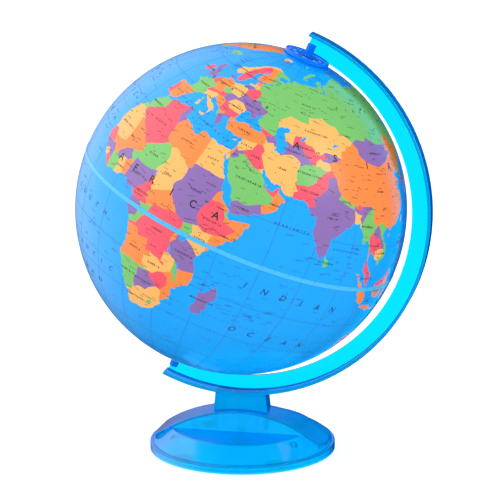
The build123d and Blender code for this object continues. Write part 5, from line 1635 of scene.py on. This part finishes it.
@dataclass
class Fittings:
    """Dresses the CAD nodes that keep their own shape."""
    ball: Ball
    clear_dye: tuple[float, float, float] = (0.0, 0.927, 0.993)
    dark_dye: tuple[float, float, float] = (0.0, 0.90, 0.99)

    def finishes(self) -> dict[str, Finish]:
        """Gives the finish of each material slot.

        Returns:
            A finish by slot name.
        """
        lean = math.atan2(self.ball.axis[0], self.ball.axis[2])
        return {
            # edge sets how strongly each moulding gets the painted shade, a deeper blue where a wall is seen flat
            "base_plastic": TintedStyrene("moulded_milky_styrene_base", self.clear_dye, depth=700.0,
                    roughness=0.1, milk=0.2, milk_colour="#00EEFF", shine=0.12, edge=1.0),
            "arm_plastic": TintedStyrene("moulded_clear_styrene_arm", self.clear_dye, depth=3300.0,
                    roughness=0.05, milk=0.4, milk_colour="#00F0FF", shine=0.2, edge=0.9,
                    arm_about=self.ball),
            "dial_plastic": TintedStyrene("moulded_milky_styrene_dial", self.dark_dye, depth=600.0,
                    roughness=0.15, milk=0.85, milk_colour="#0088FA", shine=0.2, edge=0.3),
            "cap_plastic": TintedStyrene("moulded_milky_styrene_cap", self.clear_dye, depth=600.0,
                    roughness=0.2, milk=0.7, milk_colour="#00AEFF", shine=0.25, edge=0.3),
            "shell_plastic": OpaqueMoulding("thermoformed_white_styrene", "#E9E6DE", "#DAD6CC",
                    grain=3.0, roughness=0.5, bump=0.02),
            "nylon": OpaqueMoulding("moulded_blue_nylon", "#1C86EC", "#1474D8",
                    grain=1.5, roughness=0.45, bump=0.01, ior=1.53),
            "pad_rubber": OpaqueMoulding("die_cut_grey_rubber_pads", "#A9B6C0", "#98A6B2",
                    grain=0.8, roughness=0.85, bump=0.03, ior=1.52),
            "pin_steel": WorkedSteel("drawn_bright_steel", "#B9BABD", "#A6A8AC", patch=1.6, roughness=0.22),
            "zinc_steel": WorkedSteel("zinc_plated_steel", "#C3C6CB", "#AEB3B6", patch=4.0, roughness=0.32),
            "tape_print": TapePrint("printed_vinyl_tape", "#46BDF6", "#2FA6EC", centre=self.ball.centre,
                    lean=lean),
        }

    def build(self) -> None:
        """Gives every shown node the material of its slot."""
        made = {slot: finish.build() for slot, finish in self.finishes().items()}
        where = {part["node"]: part["material_slot"] for part in frame["record"]["subparts"]}
        for name, node in frame["nodes"].items():
            slot = where.get(name)
            if slot in made:
                node.data.materials.clear()
                node.data.materials.append(made[slot])
                log.info("%s wears %s", name, made[slot].name)


# -------------------- studio

@dataclass
class Studio:
    """A white sweep all round, an even room light, three soft lights and the camera.

    The room is a little brighter on the upper left. What glossy surfaces mirror of it goes from black flags
    on the lower right to a bright wall on the upper left, which gives the clear plastic its edges.
    """
    ball: Ball
    sweep_radius: float = 5.0  # m
    sweep_height: float = 5.0  # m
    sweep_floor: float = 0.6  # share of the radius that is level
    sweep_turns: int = 96  # facets round the sweep
    sweep_rises: int = 12  # facets up its curve
    sensor: float = 36.0  # mm
    lens: float = 149.9  # mm
    distance: float = 1.603  # m from the ball's centre
    place_turn: float = 12.57  # degrees, where the camera stands
    place_rise: float = 11.42
    look_turn: float = 12.30  # degrees, which way its back points
    look_rise: float = 12.58
    roll: float = -0.3
    sweep_glow: float = 0.32
    room: tuple[float, float] = (1.04, 1.12)  # the room's light from the lower right and the upper left
    mirrored: tuple[float, float] = (0.0, 1.3)  # the same, as glossy surfaces mirror it past black flags
    bright_side: tuple[float, float, float] = (-0.90, 0.12, 0.42)
    dark_until: float = 0.15  # how far towards the bright side the room stays at its lowest

    @staticmethod
    def back(turn: float, rise: float) -> Vector:
        """Gives the direction from the object to a camera at that turn and rise, in degrees."""
        a, e = math.radians(turn), math.radians(rise)
        return Vector((math.sin(a) * math.cos(e), -math.cos(a) * math.cos(e), math.sin(e)))

    def camera(self) -> None:
        """Places the camera."""
        data = bpy.data.cameras.new("studio_camera")
        data.lens, data.sensor_width, data.clip_end = self.lens, self.sensor, 50.0
        camera = add_object("studio_camera", data)
        back = self.back(self.look_turn, self.look_rise)
        right = Vector((0, 0, 1)).cross(back).normalized()
        roll = Matrix.Rotation(math.radians(self.roll), 3, "Z")
        turned = Matrix((right, back.cross(right), back)).transposed() @ roll
        place = Vector(self.ball.centre) + self.distance * self.back(self.place_turn, self.place_rise)
        camera.matrix_world = Matrix.Translation(place) @ turned.to_4x4()
        bpy.context.scene.camera = camera

    def sweep(self) -> None:
        """Builds the floor that curves up into a wall all round."""
        level = self.sweep_radius * self.sweep_floor
        curve = self.sweep_radius - level
        profile = [(0.0, 0.0), (level, 0.0)]
        for i in range(1, self.sweep_rises + 1):
            a = math.radians(90.0 * i / self.sweep_rises)
            profile.append((level + curve * math.sin(a), curve * (1 - math.cos(a))))
        profile.append((self.sweep_radius, self.sweep_height))
        turns = self.sweep_turns
        points, faces = [(0.0, 0.0, 0.0)], []
        for radius, height in profile[1:]:
            for j in range(turns):
                a = 2 * math.pi * j / turns
                points.append((radius * math.cos(a), radius * math.sin(a), height))
        for j in range(turns):
            faces.append((0, 1 + j, 1 + (j + 1) % turns))
        for i in range(len(profile) - 2):
            for j in range(turns):
                a, b = 1 + i * turns + j, 1 + i * turns + (j + 1) % turns
                faces.append((a, a + turns, b + turns, b))
        material, tree, out = new_material("white_paper_sweep")
        place = add_node(tree, "TexCoord").outputs["Object"]
        grain = add_node(tree, "TexNoise", inputs={"Scale": 2.0, "Detail": 2.0}, links={"Vector": place})
        tone = add_node(tree, "MapRange", inputs={"To Min": 0.93, "To Max": 0.95},
            links={"Value": grain.outputs["Fac"]})
        shader = add_node(tree, "BsdfPrincipled", inputs={"Roughness": 0.9, "Specular IOR Level": 0.0,
                "Emission Color": (1.0, 1.0, 1.0, 1.0), "Emission Strength": self.sweep_glow},
            links={"Base Color": tone.outputs["Result"]})
        tree.links.new(shader.outputs["BSDF"], out.inputs["Surface"])
        sweep = mesh_piece("studio_sweep", np.array(points), faces, [material], smooth=True)
        sweep.visible_shadow = sweep.visible_diffuse = sweep.visible_glossy = False

    def world(self) -> None:
        """Lights the scene from all round, a little more from the upper left."""
        world = bpy.data.worlds.new("studio_world")
        bpy.context.scene.world = world
        world.use_nodes = True
        tree = world.node_tree
        tree.nodes.clear()
        out = add_node(tree, "OutputWorld")
        ray = add_node(tree, "TexCoord").outputs["Generated"]
        side = add_node(tree, "VectorMath", settings={"operation": "DOT_PRODUCT"},
            inputs={1: self.bright_side}, links={0: ray})
        room, mirrored = (add_node(tree, "MapRange", settings={"interpolation_type": "SMOOTHSTEP"},
                inputs={"From Min": self.dark_until, "From Max": 1.0, "To Min": low, "To Max": high},
                links={"Value": side.outputs["Value"]}).outputs["Result"]
            for low, high in (self.room, self.mirrored))
        path = add_node(tree, "LightPath")
        light = add_node(tree, "Mix", links={0: path.outputs["Is Glossy Ray"], 2: room, 3: mirrored})
        sky = add_node(tree, "Background", inputs={"Color": (1.0, 1.0, 1.0, 1.0)},
            links={"Strength": light.outputs[0]})
        tree.links.new(sky.outputs["Background"], out.inputs["Surface"])

    def softbox(self, name: str, turn: float, rise: float, distance: float, side: float, power: float,
            shine: bool) -> None:
        """Adds one soft light that faces the object.

        Args:
            name: the light's name.
            turn: where it stands, in degrees round the object.
            rise: how high it stands, in degrees.
            distance: metres from the ball's centre.
            side: width and height in metres.
            power: watts.
            shine: whether glossy surfaces mirror it.
        """
        data = bpy.data.lights.new(name, "AREA")
        data.shape, data.size, data.size_y, data.energy = "RECTANGLE", side, side, power
        light = add_object(name, data)
        back = self.back(turn, rise)
        light.location = Vector(self.ball.centre) + distance * back
        light.rotation_euler = back.to_track_quat("Z", "Y").to_euler()
        light.visible_glossy = shine

    def build(self) -> None:
        """Builds the studio."""
        self.camera()
        self.sweep()
        self.world()
        self.softbox("key_softbox", turn=-62.0, rise=40.0, distance=2.0, side=1.4, power=5.0, shine=False)
        self.softbox("front_softbox", turn=20.0, rise=22.0, distance=2.4, side=1.4, power=4.0, shine=False)
        self.softbox("right_softbox", turn=76.0, rise=28.0, distance=2.4, side=1.2, power=8.0, shine=True)
        bpy.context.scene.view_settings.view_transform = "Standard"


# -------------------- making it all

def main() -> None:
    """Builds the globe's looks in order and reports each piece."""
    logging.basicConfig(level=logging.INFO, format="%(name)s: %(message)s")
    joint = frame["joints"][0]
    ball = Ball(tuple(joint["pos_m"]), tuple(joint["axis"]))
    Studio(ball).build()
    Fittings(ball).build()
    world = WorldShapes()
    PrintedMap(ball, world).build()
    Graticule(ball, world).build()
    kind = Type()
    PlaceNames(ball, kind).build()
    SmallPrint(ball, world).build()
    HourMarks(ball, kind).build()


if __name__ == "__main__":
    main()
